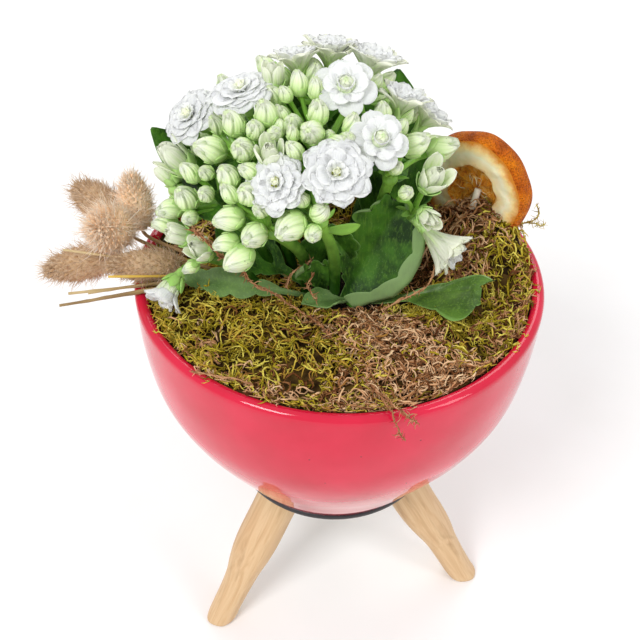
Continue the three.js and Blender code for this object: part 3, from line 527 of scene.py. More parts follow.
# The stalk's near-black low green is painted shade under the crown
STALK = stem_skin("Kalanchoe flower stalk", 0x1C4606, 0x8EC24E)
SEPAL = stem_skin("Kalanchoe sepal", 0x93C45C, 0xBCDD8C)
STAMEN = stem_skin("Kalanchoe stamen", 0xA9B53A, 0xC9CF5A)
LEAF_GREEN = leaf_skin("Waxy kalanchoe leaf", 0x143A06, 0x4A8020, 0x6E9452, 0.14, 0.55)
LEAF_BRIGHT = leaf_skin("Waxy young kalanchoe leaf", 0x2C500C, 0x4C761E, 0x7C8C5A, 0.3)
LEAF_PALE = leaf_skin("Frosted kalanchoe leaf", 0x446C2A, 0x648C40, 0x8CA272, 0.5)
GREEN_MOSS = dry_strand("Dried sheet moss", [(0.16, 0x2C2208), (0.33, 0x786614), (0.49, 0xB4A026),
                                             (0.64, 0xEEE068), (0.8, 0xC8A83C), (0.95, 0xA9773A)])
BROWN_MOSS = dry_strand("Dried sphagnum fibre", [(0.15, 0x220E04), (0.35, 0x6E4020), (0.53, 0xB68052),
                                                 (0.71, 0xE2B286), (0.92, 0xF0CCA2)], root_shade=0.6)
# The bed's dark browns: partly the moss's own base, partly painted shade in the gaps between strands
SHADED_MOSS_BED = dry_strand("Moss bed", [(0.2, 0x1C1206), (0.5, 0x382610), (0.8, 0x5E471E)])
ROOTLET = dry_strand("Brown moss rootlet", [(0.2, 0x7A4A2E), (0.5, 0xA9744E), (0.8, 0xCB9C74)])
TAIL_HAIR = dry_strand("Bunny-tail hair", [(0.15, 0xFFD4AA), (0.4, 0xFFE2C4), (0.65, 0xFFEEDA),
                                           (0.9, 0xFFF8EE)], 0.7, 0.05)
TAIL_CORE = dry_strand("Bunny-tail seed head", [(0.2, 0xEEC294), (0.5, 0xFAD6AE), (0.8, 0xFFE6CA)],
                       root_shade=0.1)
# Painted shade: the same tail hair and seed head darkened, for the heads that sit in shade
SHADED_TAIL_HAIR = dry_strand("Bunny-tail hair in painted shade", [(0.15, 0xC09872), (0.4, 0xCEAC88), (0.65, 0xD8BA9A),
                                                     (0.9, 0xE4CEB6)], 0.7, 0.05)
SHADED_TAIL_HEAD = dry_strand("Bunny-tail head in painted shade", [(0.2, 0xB69066), (0.5, 0xC6A47E), (0.8, 0xD0B698)],
                       root_shade=0.1)
GRASS_STEM = dry_strand("Dried grass stem", [(0.2, 0x7A5A3A), (0.5, 0xA9825A), (0.8, 0xC4A377)], 0.55)
STRAW = dry_strand("Cut straw", [(0.3, 0x8E7450), (0.5, 0xB59A6A), (0.7, 0xD2BC90), (0.86, 0xDCB654)], 0.45)
PICK_WOOD = dry_strand("Pale birch pick", [(0.2, 0xC9B49A), (0.5, 0xE2D3BE), (0.8, 0xEFE6D6)], 0.55)
PEAT = crumbs_skin()
RIND = orange_peel()
PITH = orange_pith()
PULP = orange_pulp()


# Floor and light: a broad soft box high on the left of the camera, a fill on the right, and a pale room
FLOOR_HALF, FLOOR_DROP = 6, 0.0005
scene = bpy.context.scene
floor_mesh = bpy.data.meshes.new("floor")
floor_corners = [(FLOOR_HALF * x, FLOOR_HALF * y, 0) for x, y in ((-1, -1), (1, -1), (1, 1), (-1, 1))]
floor_mesh.from_pydata(floor_corners, [], [(0, 1, 2, 3)])
floor_mesh.materials.append(floor_paint())
floor = bpy.data.objects.new("floor", floor_mesh)
scene.collection.objects.link(floor)
floor.location.z = -FLOOR_DROP

world = bpy.data.worlds.new("pale room")
scene.world = world
world.use_nodes = True
backdrop = world.node_tree.nodes["Background"]
backdrop.inputs["Color"].default_value = (1, 1, 1, 1)
backdrop.inputs["Strength"].default_value = 0.72
scene.view_settings.view_transform = "Standard"


LIGHT_AIM = np.array([0, 0, 0.15])


def soft_box(name, place, width, height, power):
    """A rectangular lamp in metres and watts that faces the plant."""
    lamp = bpy.data.lights.new(name, "AREA")
    lamp.shape = "RECTANGLE"
    lamp.size, lamp.size_y, lamp.energy = width, height, power
    made = bpy.data.objects.new(name, lamp)
    scene.collection.objects.link(made)
    back = unit(place - LIGHT_AIM)
    side, lift = across(back)
    turn = Matrix([[side[i], lift[i], back[i]] for i in range(3)])
    made.matrix_world = Matrix.Translation(place) @ turn.to_4x4()


soft_box("key soft box", (-0.75, -0.95, 1.4), 0.6, 0.6, 14.5)
soft_box("fill soft box", (1.2, -0.7, 1.0), 0.4, 0.9, 4.5)
soft_box("back soft box", (0.1, 1.2, 1.3), 1.2, 0.6, 6)


# Bowl: the same profile as the solid, with a round lip and a surface that isn't quite true
bowl_wall = [(1.0, 45), (0.92, 50.1), (0.81, 56.4), (0.68, 64.1), (0.55, 71), (0.41, 76.2), (0.22, 79.1),
             (0.035, BOWL_RIM)]
outer = np.array([(radius, RIM_Z - share * (RIM_Z - BOWL_FOOT)) for share, radius in bowl_wall])
outer_fine = smooth(outer, 44)
lip_turn = np.radians(np.linspace(10, 170, 12))
lip_round = BOWL_WALL / 2
lip = np.stack([np.cos(lip_turn), np.sin(lip_turn)], -1) * lip_round
lip = [BOWL_RIM - lip_round, RIM_Z - lip_round] + lip
inner_fine = np.stack([outer_fine[::-1, 0] - BOWL_WALL, outer_fine[::-1, 1]], -1)
inner_fine = inner_fine[inner_fine[:, 1] > BOWL_FOOT + 9]
underside = [(radius, BOWL_FOOT + up) for radius, up in ((0, 0), (20, 0), (40, 0), (43.2, 0), (44.4, 0.2))]
bowl_floor = [(radius, BOWL_FOOT + up) for radius, up in ((42, 7.2), (38, 7), (0, 7))]
bowl_profile = np.vstack([underside, outer_fine[1:], lip, inner_fine, bowl_floor])
bowl = Shape()


def thrown(points):
    spread = ripple(points, 60, 2.0)[..., None] * 0.25
    spread = np.where(points[..., 2:] > BOWL_FOOT + 1, spread, 0)
    return unit(points * [1, 1, 0]) * spread


turned(bowl, bowl_profile, 120, wobble=thrown)
bowl.piece("red_bowl", [RED_GLAZE], "red_glaze", "bowl")

disc = Shape()
disc_edge = [(0, 0), (43.9, 0), (44.7, 0.25), (45, 0.85)]
disc_profile = [(radius, DISC_UNDER + up) for radius, up in disc_edge]
disc_profile += [(radius, DISC_TOP - down) for radius, down in ((45, 0.75), (44.7, 0.25), (43.9, 0), (0, 0))]
turned(disc, disc_profile, 96)
disc.piece("black_disc", [BLACK_STEEL], "black_disc", "mounting_disc")

# The screws keep the solids' own shape
for screw in ("screw_leg_left", "screw_leg_right", "screw_leg_back"):
    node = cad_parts[screw]
    node.data.materials.clear()
    node.data.materials.append(SCREW_STEEL)


# Legs: level cuts of a leaning, shaved round, wider at the top, with a knee below the middle of its height
LEG_TOP, LEG_FOOT, LEG_REACH, LEG_TOP_REACH = DISC_UNDER - 0.35, 6.6, 69.0, 24.0
LEG_SIDES = 44
rounding = [(0, 0.86), (0.25, 0.93), (0.7, 0.97), (1.4, 0.99), (2.4, 1)]
leg_swell = [(-12, 0.97), (10, 1.0), (26, 1.1), (37, 1.34), (47, 1.47), (66, 1.5), (110, 1.54)]
lean = math.atan2(LEG_REACH - LEG_TOP_REACH, DISC_UNDER)


def leg(name, bearing, seed):
    shape = Shape()
    low, shares = np.transpose(rounding)
    heights = np.concatenate([low, np.linspace(4, LEG_TOP, 54)])
    shrink = np.interp(heights, low, shares)
    distance = heights / math.cos(lean)
    swell = smooth(leg_swell, 80)
    radius = LEG_FOOT * np.interp(distance, swell[:, 0], swell[:, 1]) * shrink
    angle = 2 * np.pi * np.arange(LEG_SIDES) / LEG_SIDES
    outward = heading(bearing)
    sideways = np.array([-outward[1], outward[0], 0])
    centre = outward * (LEG_REACH - heights[:, None] * math.tan(lean)) + [0, 0, 1] * heights[:, None]
    facets = 0.02 * np.cos(5 * angle + seed) + 0.02 * np.cos(3 * angle + 2 * seed)
    carve = 0.026 * np.sin(distance[:, None] / 8 + 2 * np.cos(angle + seed)) * (heights[:, None] > 3)
    reach = radius[:, None] * (1 + facets + carve)
    points = (centre[:, None] + outward * (reach * np.cos(angle))[..., None] / math.cos(lean)
              + sideways * (reach * np.sin(angle))[..., None])
    flow = xyz(reach * np.cos(angle), reach * np.sin(angle), distance[:, None] + 100 * seed)
    shape.add(points, tube(len(heights), LEG_SIDES), flow)
    shape.piece(name + "_wood", [LEG_WOOD], "pale_wood", name)


for i, (name, bearing) in enumerate((("leg_left", -136.7), ("leg_right", -16.7), ("leg_back", 103.3))):
    leg(name, bearing, 1.0 + 1.3 * i)


# Flowers
def petal_ring(shape, centre, facing, rng, count, length, width, rises, spin, start=(0.4, 0.0), cup=0.3,
               ruffle=0.3, wrap=0.3, point=3.0, ragged=0.0, slot=0, rows=8, columns=7, thick=0.35, lot=None):
    """A ring of petals round a flower's axis. rises are a petal's slopes above the flower's face, in
    degrees, at its base and at its tip. start is the base ring's radius and height."""
    u, v = across(facing)
    s = np.sin(np.linspace(0, np.pi / 2, rows)) ** 1.1
    j = np.linspace(-1, 1, columns)
    for i in range(count):
        theta = spin + 2 * np.pi * (i + 0.16 * (rng.random() - 0.5)) / count
        long = length * (0.93 + 0.14 * rng.random())
        wide = width * (0.93 + 0.14 * rng.random()) / 2
        slope = np.radians(rises[0] + (rises[1] - rises[0]) * s + 9 * (rng.random() - 0.5))
        step = np.diff(s, prepend=0) * long
        radial = start[0] + np.cumsum(step * np.cos(slope))
        height = start[1] + np.cumsum(step * np.sin(slope))
        taper = np.clip(1 - np.clip((s - 0.52) / 0.48, 0, 1) ** point, 0, 1) ** 0.55
        half = wide * (0.34 + 0.66 * np.sin(np.clip(s / 0.62, 0, 1) * np.pi / 2)) * taper
        phase = rng.random(3) * 6.28
        edge = 1 - ragged * 0.12 * (0.5 + 0.5 * np.sin(7 * j + phase[0])) * s[:, None] ** 3
        frill = np.sin(3.4 * j + phase[1]) * 0.6 + np.sin(6.5 * j + phase[2]) * 0.4
        lift = cup * half[:, None] * np.abs(j) ** 2 + ruffle * frill * s[:, None] ** 2
        r = (radial[:, None] - start[0]) * edge + start[0] - np.sin(slope)[:, None] * lift
        h = height[:, None] + np.cos(slope)[:, None] * lift
        side = j * half[:, None]
        ray = rays(facing, theta + wrap * side / np.maximum(r, 1.2))
        tangent = -math.sin(theta) * u + math.cos(theta) * v
        top = centre + ray * r[..., None] + facing * h[..., None] + tangent * ((1 - wrap) * side)[..., None]
        normal = unit(np.cross(np.gradient(top, axis=1), np.gradient(top, axis=0)))
        body = thick * (1 - 0.55 * s)[:, None, None] * (1 - 0.7 * j[None, :, None] ** 4)
        blade(shape, top, top - normal * body, j, s, rng.random() if lot is None else lot, slot)


def petal_rings(shape, centre, facing, rng, size, plan, turn=6, **manner):
    """Rings of petals from the outside in. Each row of the plan has the ring's count, its petals' length and
    width as shares of the size, their rises, the base ring, and in what it differs from the manner."""
    for count, long, wide, rises, start, own in plan:
        petal_ring(shape, centre, facing, rng, count, size * long, size * wide, rises, turn * rng.random(),
                   start, **{**manner, **own})


def calyx(shape, centre, facing, rng, radius, length, count=4, slot=1):
    """The green tube under a flower, with sepals that hug it."""
    t = np.linspace(0, 1, 9)
    girth = radius * np.interp(t, [0, 0.15, 0.5, 1], [0.5, 0.8, 0.85, 1.05])
    path = centre + facing * (length * (t - 1))[:, None]
    strands(shape, path[None], girth[None], 12, [rng.random()], slot, hint=across(facing)[0])
    petal_ring(shape, centre - facing * length * 0.95, facing, rng, count, length * 0.85, radius * 1.3,
               (74, 60), rng.random() * 6, (radius * 0.55, 0), cup=0.5, ruffle=0, wrap=0.8, point=1.4,
               slot=slot, rows=6, columns=5, thick=0.4)


def stamens(shape, centre, facing, rng, spread, height):
    """Five short yellow-green stamens in a flower's throat."""
    t = np.linspace(0, 1, 4)[None, :, None]
    out = rays(facing, rng.random(5) * 6.28)[:, None] * spread * (0.3 + t)
    path = centre + out + facing * t * height * (0.8 + 0.3 * rng.random(5))[:, None, None]
    strands(shape, path, np.array([[0.22, 0.2, 0.22, 0.42]]), 5, rng.random(5), 2)


def bud_swell(t):
    """A bud's girth along its length, as a share of its widest."""
    return np.sin(np.pi * (0.16 + 0.8 * t**0.9)) ** 0.8


def sepals(shape, base, facing, girth, tall, rng, count=5, reach=0.44):
    """Pointed green sepals that hug a bud's lower half."""
    s = np.linspace(0, 1, 7)[:, None]
    j = np.linspace(-1, 1, 5)
    start = rng.random() * 6.28
    for i in range(count):
        long = reach * (0.88 + 0.24 * rng.random())
        half = np.pi / count * 1.1 * (1 - s**1.8) ** 0.7
        angle = start + 2 * np.pi * (i + 0.2 * rng.random()) / count + j * half
        r = girth * bud_swell(s * long) * 1.04 + 0.3 * (1 - j**2) * (1 - s) + 0.1 * girth * s**4
        top = around(base, facing, r, angle, tall * long * s)
        blade(shape, top, around(base, facing, r - 0.5, angle, tall * long * s - 0.2), j, s, rng.random(), 2)


def bud(shape, spot, facing, size, rng, hidden=False, slot=1):
    """A closed bud: five petals wrapped round each other, folded in at the tip, over pointed sepals."""
    tall, girth = size * 1.32, size * 0.49
    base = spot - facing * tall * 0.45
    rows, petals = 8 if hidden else 13, 5
    t = np.linspace(0, 1, rows)[:, None]
    share = np.tile([0, 0.22, 0.5, 0.78, 0.97], petals)
    angle = 2 * np.pi * (np.repeat(np.arange(petals), 5) + share) / petals + (0.7 + rng.random()) * t
    r = girth * bud_swell(t) * (1 + 0.1 * (share - 0.55) * soft_step(t, 0.15, 0.5))
    h = tall * t + 0.05 * tall * (share - 0.5) * soft_step(t, 0.5, 1)
    side, _, tip = tube(rows, 5 * petals)
    flow = xyz(2 * share - 1, t, rng.random())
    shape.add(around(base, facing, r, angle, h), [side, tip], flow, slot)
    if hidden or slot != 1:
        return
    sepals(shape, base, facing, girth, tall, rng, 4 + (size > 7))
    petal_ring(shape, base + facing * tall * 0.68, facing, rng, 4, tall * 0.36, girth * 0.95, (98, 132),
               rng.random() * 6, (girth * 0.74, 0), cup=0.25, ruffle=0.2, wrap=0.9, point=2.0, slot=3, rows=6,
               columns=4, thick=0.25)


def rose_bloom(shape, centre, facing, size, rng):
    """Broad round petals under a half-open second ring and a rosebud heart."""
    petal_rings(shape, centre, facing, rng, size / 2, [
        (6, 1.0, 0.86, (32, -14), (1.2, 0.0), dict(cup=0.14, ruffle=0.6, point=3.4, rows=10, columns=9)),
        (6, 0.76, 0.74, (58, 4), (1.0, 0.6), dict(cup=0.22, ruffle=0.5, wrap=0.4, point=3.4, rows=9)),
        (5, 0.5, 0.7, (62, 84), (1.5, 0.8), dict(ruffle=0.25, wrap=0.9)),
        (5, 0.56, 0.8, (56, 138), (2.5, 0.8), dict(ruffle=0.15, wrap=1.0, rows=9, slot=4)),
        (3, 0.56, 0.7, (66, 128), (2.4, 0.8), dict(ruffle=0.1, wrap=1.0, columns=6, slot=4)),
    ], turn=1, cup=0.1, point=4)
    bud(shape, centre + facing * 2.6, facing, size * 0.32, rng, slot=5)


def ruffled_bloom(shape, centre, facing, size, rng):
    """Rings of round ruffled petals, steeper inwards, round a green-yellow throat."""
    outer = dict(ragged=1.0, rows=9, columns=9)
    petal_rings(shape, centre, facing, rng, size / 2, [
        (8, 1.0, 0.78, (30, -10), (1.5, 0.0), dict(ruffle=0.66, **outer)),
        (8, 0.85, 0.74, (37, -3), (1.4, 0.35), dict(ruffle=0.58, **outer)),
        (7, 0.64, 0.62, (50, 10), (1.3, 0.7), dict(ruffle=0.5, **outer)),
        (6, 0.42, 0.42, (74, 40), (0.9, 1.0), dict(cup=0.2, ruffle=0.5, wrap=0.5, point=2.8)),
        (4, 0.32, 0.3, (84, 76), (0.7, 1.2),
         dict(cup=0.3, ruffle=0.3, wrap=0.7, point=2.4, slot=3, rows=6, columns=5)),
    ], cup=0.14, point=3.4)
    bud(shape, centre + facing * 2.0, facing, size * 0.14, rng, hidden=True, slot=3)
    stamens(shape, centre + facing * 1.0, facing, rng, 1.1, 2.6)


def feathered_bloom(shape, centre, facing, size, rng):
    """Many narrow petals in dense, softly ruffled layers."""
    petal_rings(shape, centre, facing, rng, size / 2, [
        (8, 1.0, 0.78, (22, -14), (1.5, 0.0), {}),
        (8, 0.9, 0.76, (27, -11), (1.35, 0.22), {}),
        (7, 0.77, 0.72, (34, -5), (1.2, 0.44), {}),
        (7, 0.6, 0.62, (44, 8), (1.05, 0.66), {}),
        (5, 0.42, 0.5, (64, 40), (0.9, 0.88), {}),
    ], cup=0.1, ruffle=0.42, wrap=0.25, ragged=0.6, rows=9)
    bud(shape, centre + facing * 2.2, facing, size * 0.15, rng, hidden=True, slot=3)
    petal_rings(shape, centre, facing, rng, size / 2, [(4, 0.34, 0.26, (84, 62), (0.8, 1.4), {})],
                wrap=0.6, point=2.4, slot=3, rows=6, columns=5)


def half_bloom(shape, centre, facing, size, rng):
    """A flower that is still opening: a green-striped cup with petals fanning up out of it."""
    petal_rings(shape, centre - facing * 4.4, facing, rng, size / 2, [
        (7, 1.5, 0.8, (70, 22), (1.6, 0.0), dict(slot=3)),
        (7, 1.4, 0.76, (74, 34), (1.4, 0.3), {}),
        (7, 1.25, 0.68, (78, 46), (1.2, 0.6), {}),
        (6, 1.05, 0.56, (86, 60), (0.9, 0.9), {}),
    ], ruffle=0.6, wrap=0.4, point=2.8, ragged=0.9)
    stamens(shape, centre - facing * 1.5, facing, rng, 0.6, 2.6)


def trumpet_bloom(shape, centre, facing, size, rng, length):
    """A long green-striped tube that opens into a nodding ruffled mouth."""
    base = centre - facing * length
    for count, wide, rises, start, slot in ((6, 0.72, (84, 42), 1.3, 3), (6, 0.66, (87, 54), 1.0, 4),
                                            (5, 0.52, (90, 72), 0.7, 0)):
        petal_ring(shape, base, facing, rng, count, length * 1.12, size / 2 * wide * 1.25, rises,
                   rng.random() * 6, (start, 0), cup=0.35, ruffle=0.7, wrap=0.8, ragged=1.0, slot=slot,
                   rows=12)
    calyx(shape, base + facing * 3.5, facing, rng, 2.1, 6.0, count=5)


# Each bloom: place on the dome (bearing, rise, out), facing (bearing, rise), diameter, and its form
blooms = {
    "bloom_left_side": ((172, 40, 1.02), (-150, 50), 22, feathered_bloom),
    "bloom_left_top": ((-174, 64, 0.99), (-168, 76), 23, feathered_bloom),
    "bloom_front_right": ((-78, 45, 1.05), (-80, 52), 23, ruffled_bloom),
    "bloom_front_left": ((-104, 42, 1.0), (-118, 46), 20, ruffled_bloom),
    "bloom_top": ((-37, 75, 1.02), (-95, 58), 20.5, rose_bloom),
    "bloom_right": ((-49, 53, 1.03), (-72, 48), 19, rose_bloom),
    "bloom_right_side": ((4, 55, 1.0), (28, 70), 16.5, half_bloom),
    "bloom_right_outer": ((18, 38, 1.02), (18, 50), 15.5, half_bloom),
    "bloom_top_left": ((112, 74, 1.0), (112, 70), 16, half_bloom),
    "bloom_top_middle": ((76, 64, 1.03), (80, 74), 18.5, half_bloom),
    "bloom_top_right": ((44, 60, 1.04), (44, 68), 19, half_bloom),
    "bloom_back": ((92, 34, 1.0), (92, 36), 21, ruffled_bloom),
    "bloom_back_left": ((132, 30, 1.0), (134, 32), 21, feathered_bloom),
    "bloom_back_right": ((64, 20, 1.0), (62, 24), 20, rose_bloom),
}


def bloom_place(name):
    where, faces, size, form = blooms[name]
    return on_crown(*where)[0], heading(*faces), size, form


FLOWER_SKINS = [WHITE_PETAL, SEPAL, STAMEN, CREAM_PETAL, HEART_PETAL, BUD_SKIN]

for i, name in enumerate(blooms):
    centre, facing, size, form = bloom_place(name)
    rng = np.random.default_rng(100 + i)
    flower = Shape()
    form(flower, centre, facing, size, rng)
    calyx(flower, centre + facing * 0.6, facing, rng, size * 0.13, 9.4)
    flower.piece(name + "_petals", FLOWER_SKINS, "petal_white", name)

rng = np.random.default_rng(130)
trumpet_at, trumpet_faces = np.array([42.0, -16, 197]), unit([0.72, -0.5, -0.4])
trumpet = Shape()
trumpet_bloom(trumpet, trumpet_at, trumpet_faces, 21, rng, 18)
trumpet_stem = smooth([(15, 3, 160), (22, 4, 186), (25, 0, 201), trumpet_at - trumpet_faces * 20], 26)
strands(trumpet, trumpet_stem[None], 1.2, 10, [0.4], 1, capped=True)
trumpet.piece("bloom_low_right_petals", FLOWER_SKINS[:5], "petal_white", "bloom_low_right")


# Buds and sprays
def opening_bud(shape, spot, facing, size, rng):
    """A bud that is half open: whitish petals, furled over each other, stand out of its green cup."""
    tall, girth = size * 1.3, size * 0.46
    base = spot - facing * tall * 0.5
    cup = np.array([[0.4, 0.66, 0.86, 0.92, 0.84, 0.5]])
    strands(shape, (base + facing * np.linspace(0, tall * 0.5, 6)[:, None])[None], girth * cup, 12,
            [rng.random()], 2, hint=across(facing)[0])
    plan = ((4, 0.96, 1.5, (60, 84 + 12 * rng.random()), 0.56), (5, 1.02, 1.7, (58, 126), 0.52),
            (4, 1.0, 1.4, (60, 142), 0.4), (3, 0.94, 0.9, (80, 104), 0.2))
    for count, long, wide, rises, start in plan:
        petal_ring(shape, base, facing, rng, count, tall * long, girth * wide, rises, rng.random() * 6,
                   (girth * start, 0), cup=0.1, ruffle=0.35, wrap=0.95, ragged=0.9, slot=3, rows=10)
    sepals(shape, base, facing, girth * 1.02, tall, rng, 5, 0.4)


def bract(shape, at, out, rng, length=7.0, width=2.6, slot=0):
    """A small strap-shaped leaf on a stalk."""
    petal_ring(shape, at, unit(out), rng, 1, length, width, (80, 62), rng.random() * 6, cup=0.4, ruffle=0.1,
               wrap=0.1, point=1.8, slot=slot, rows=7, columns=5, thick=0.7, lot=0)


# The same sprays as the solids: stalk knots, buds (bearing, rise, diameter, half open), blooms carried
sprays = {
    "spray_left_top": (((-16, 6, 158), (-24, 5, 195), (-34, 0, 222)), 2.1,
                       ((-147, 56, 8.2), (-129, 58, 6.7), (-114, 59, 5.3), (-130, 65, 8.1), (-149, 44, 9.6),
                        (-129, 50, 8.4), (-112, 51, 9.4, 1), (152, 50, 7.3), (176, 76, 8.3, 1)),
                       ("bloom_left_side", "bloom_left_top")),
    "spray_left": (((-20, 4, 158), (-30, 0, 185), (-42, -6, 208)), 2.1,
                   ((-176, 28, 11.5, 1), (176, 16, 7.8, 1), (-153, 33, 6.7), (-143, 37, 5.4), (-130, 40, 8.1),
                    (-138, 31, 5.9), (-149, 25, 8.5), (-159, 16, 8.0), (-164, 7, 7.4), (-143, 20, 5.6)), ()),
    "spray_front_left": (((-13, -3, 158), (-14, -10, 190), (-25, -24, 213)), 2.1,
                         ((-120, 44, 6.2), (-126, 35, 6.2), (-117, 37, 8.1), (-110, 33, 5.9), (-123, 27, 8.9),
                          (-111, 24, 8.8), (-122, 19, 6.9), (-116, 15, 9.6)), ()),
    "spray_front": (((-2, -6, 158), (-2.5, -16, 195), (-8, -28, 221)), 2.1,
                    ((-97, 29, 10.1), (-88, 27, 6.2), (-85, 34, 6.7), (-93, 38, 5.4), (-99, 54, 6.2),
                     (-102, 60, 4.6)), ("bloom_front_right", "bloom_front_left")),
    "spray_middle": (((-8, 4, 158), (-8, 2, 200), (-8, -4, 228)), 2.1,
                     ((-89, 61, 8.3), (-83, 69, 7.4), (-73, 56.5, 6.2), (-66, 57, 6.2), (-58, 62, 6.7),
                      (-124, 82, 6.8), (-80, 80, 6.3), (-128, 75, 5)), ("bloom_top",)),
    "spray_right": (((5, 4, 158), (12, 6, 192), (17, -1, 221)), 2.1,
                    ((-26, 61, 6.4), (-44, 43, 5), (12, 66, 5.2), (-22, 45, 8.7), (12, 27, 9.4)),
                    ("bloom_right", "bloom_right_side", "bloom_right_outer")),
    "spray_right_low": (((12, 6, 158), (21, 6, 184), (26, -2, 206)), 1.7,
                        ((-24, 32, 10.8, 1), (-44, 34, 5.2), (-36, 22, 7.2, 1)), ()),
    "spray_low_left": (((-24, -4, 158), (-36, -14, 186), (-50, -22, 199)), 1.6,
                       ((-148, 11, 8, 1), (-134, 12, 8.6, 1), (-139, 3, 5)), ()),
    "spray_back": (((-8, 12, 158), (-8, 20, 195), (-6, 26, 226)), 2.1,
                   ((42, 50, 6.8), (98, 52, 7), (122, 55, 7.6), (64, 44, 6.4), (112, 42, 8), (74, 26, 7.4),
                    (106, 22, 8)), ("bloom_top_left", "bloom_top_middle", "bloom_top_right", "bloom_back")),
    "spray_back_left": (((-18, 12, 158), (-28, 20, 190), (-34, 26, 212)), 2.1,
                        ((150, 36, 8), (160, 26, 7.4), (146, 14, 8.4), (118, 16, 7.6)), ("bloom_back_left",)),
    "spray_back_right": (((2, 19, 158), (8, 29, 186), (17, 37, 207)), 2.1,
                         ((38, 32, 7.6), (52, 8, 8), (40, 14, 7.4), (28, 20, 8.6)), ("bloom_back_right",)),
}


def twig(shape, fork, end, end_way, rng, thick):
    """A bud's or bloom's own stalk, bent softly from the fork into its base."""
    reach = np.linalg.norm(end - fork)
    way = unit(end - fork)
    knots = [fork, fork + way * reach * 0.4 + [0, 0, reach * 0.06], end - end_way * reach * 0.22, end]
    path = smooth(knots, 9)
    swell = np.interp(np.linspace(0, 1, 9), [0, 0.15, 0.8, 1], [1.35, 1.0, 0.85, 1.15])
    strands(shape, path[None], thick * swell[None], 7, [rng.random()], 0)


# Inner buds: the places tried, spread over the dome by the golden ratio, the share of two buds' sizes that
# stays between them, and how far out on the dome they sit
GAP_TRIES, GOLDEN_DEGREES, GOLDEN_SHARE = 420, 137.508, 0.618034
BUD_SPACING, INNER_OUT = 0.43, 0.93
# Inner leaves: the number tried for each spray, and how near its fork they have to be
INNER_LEAVES, INNER_REACH = 14, 34


def gap_buds():
    """Small inner buds where the dome would show a hole, each given to the spray whose fork is nearest."""
    rng = np.random.default_rng(170)
    taken = [(on_crown(*row[:2])[0], row[2]) for _, _, buds, _ in sprays.values() for row in buds]
    taken += [(bloom_place(name)[0], bloom_place(name)[2] * 0.9) for name in blooms]
    found = {name: [] for name in sprays}
    for i in range(GAP_TRIES):
        rise = 12 + 66 * ((i * GOLDEN_SHARE) % 1) ** 0.8
        bearing = (i * GOLDEN_DEGREES) % 360 - 180
        open_front = -98 < bearing < 0 and rise < 44
        open_left = bearing < -95 and rise < 20
        size = 4.8 + 2.4 * rng.random()
        spot = on_crown(bearing, rise, INNER_OUT)[0]
        crowded = any(np.linalg.norm(spot - p) < BUD_SPACING * (size + d) for p, d in taken)
        if open_front or open_left or crowded:
            continue
        taken.append((spot, size))
        near = min(sprays, key=lambda name: np.linalg.norm(np.array(sprays[name][0][2]) - spot))
        found[near].append((bearing, rise, size))
    return found


inner_buds = gap_buds()
inner_buds["spray_back"] += [(87, 67, 7.0), (128, 70, 6.4), (86, 78, 6.8)]
inner_buds["spray_left_top"] += [(-172, 50, 6.6), (173, 45, 6.6), (-117, 64, 5)]

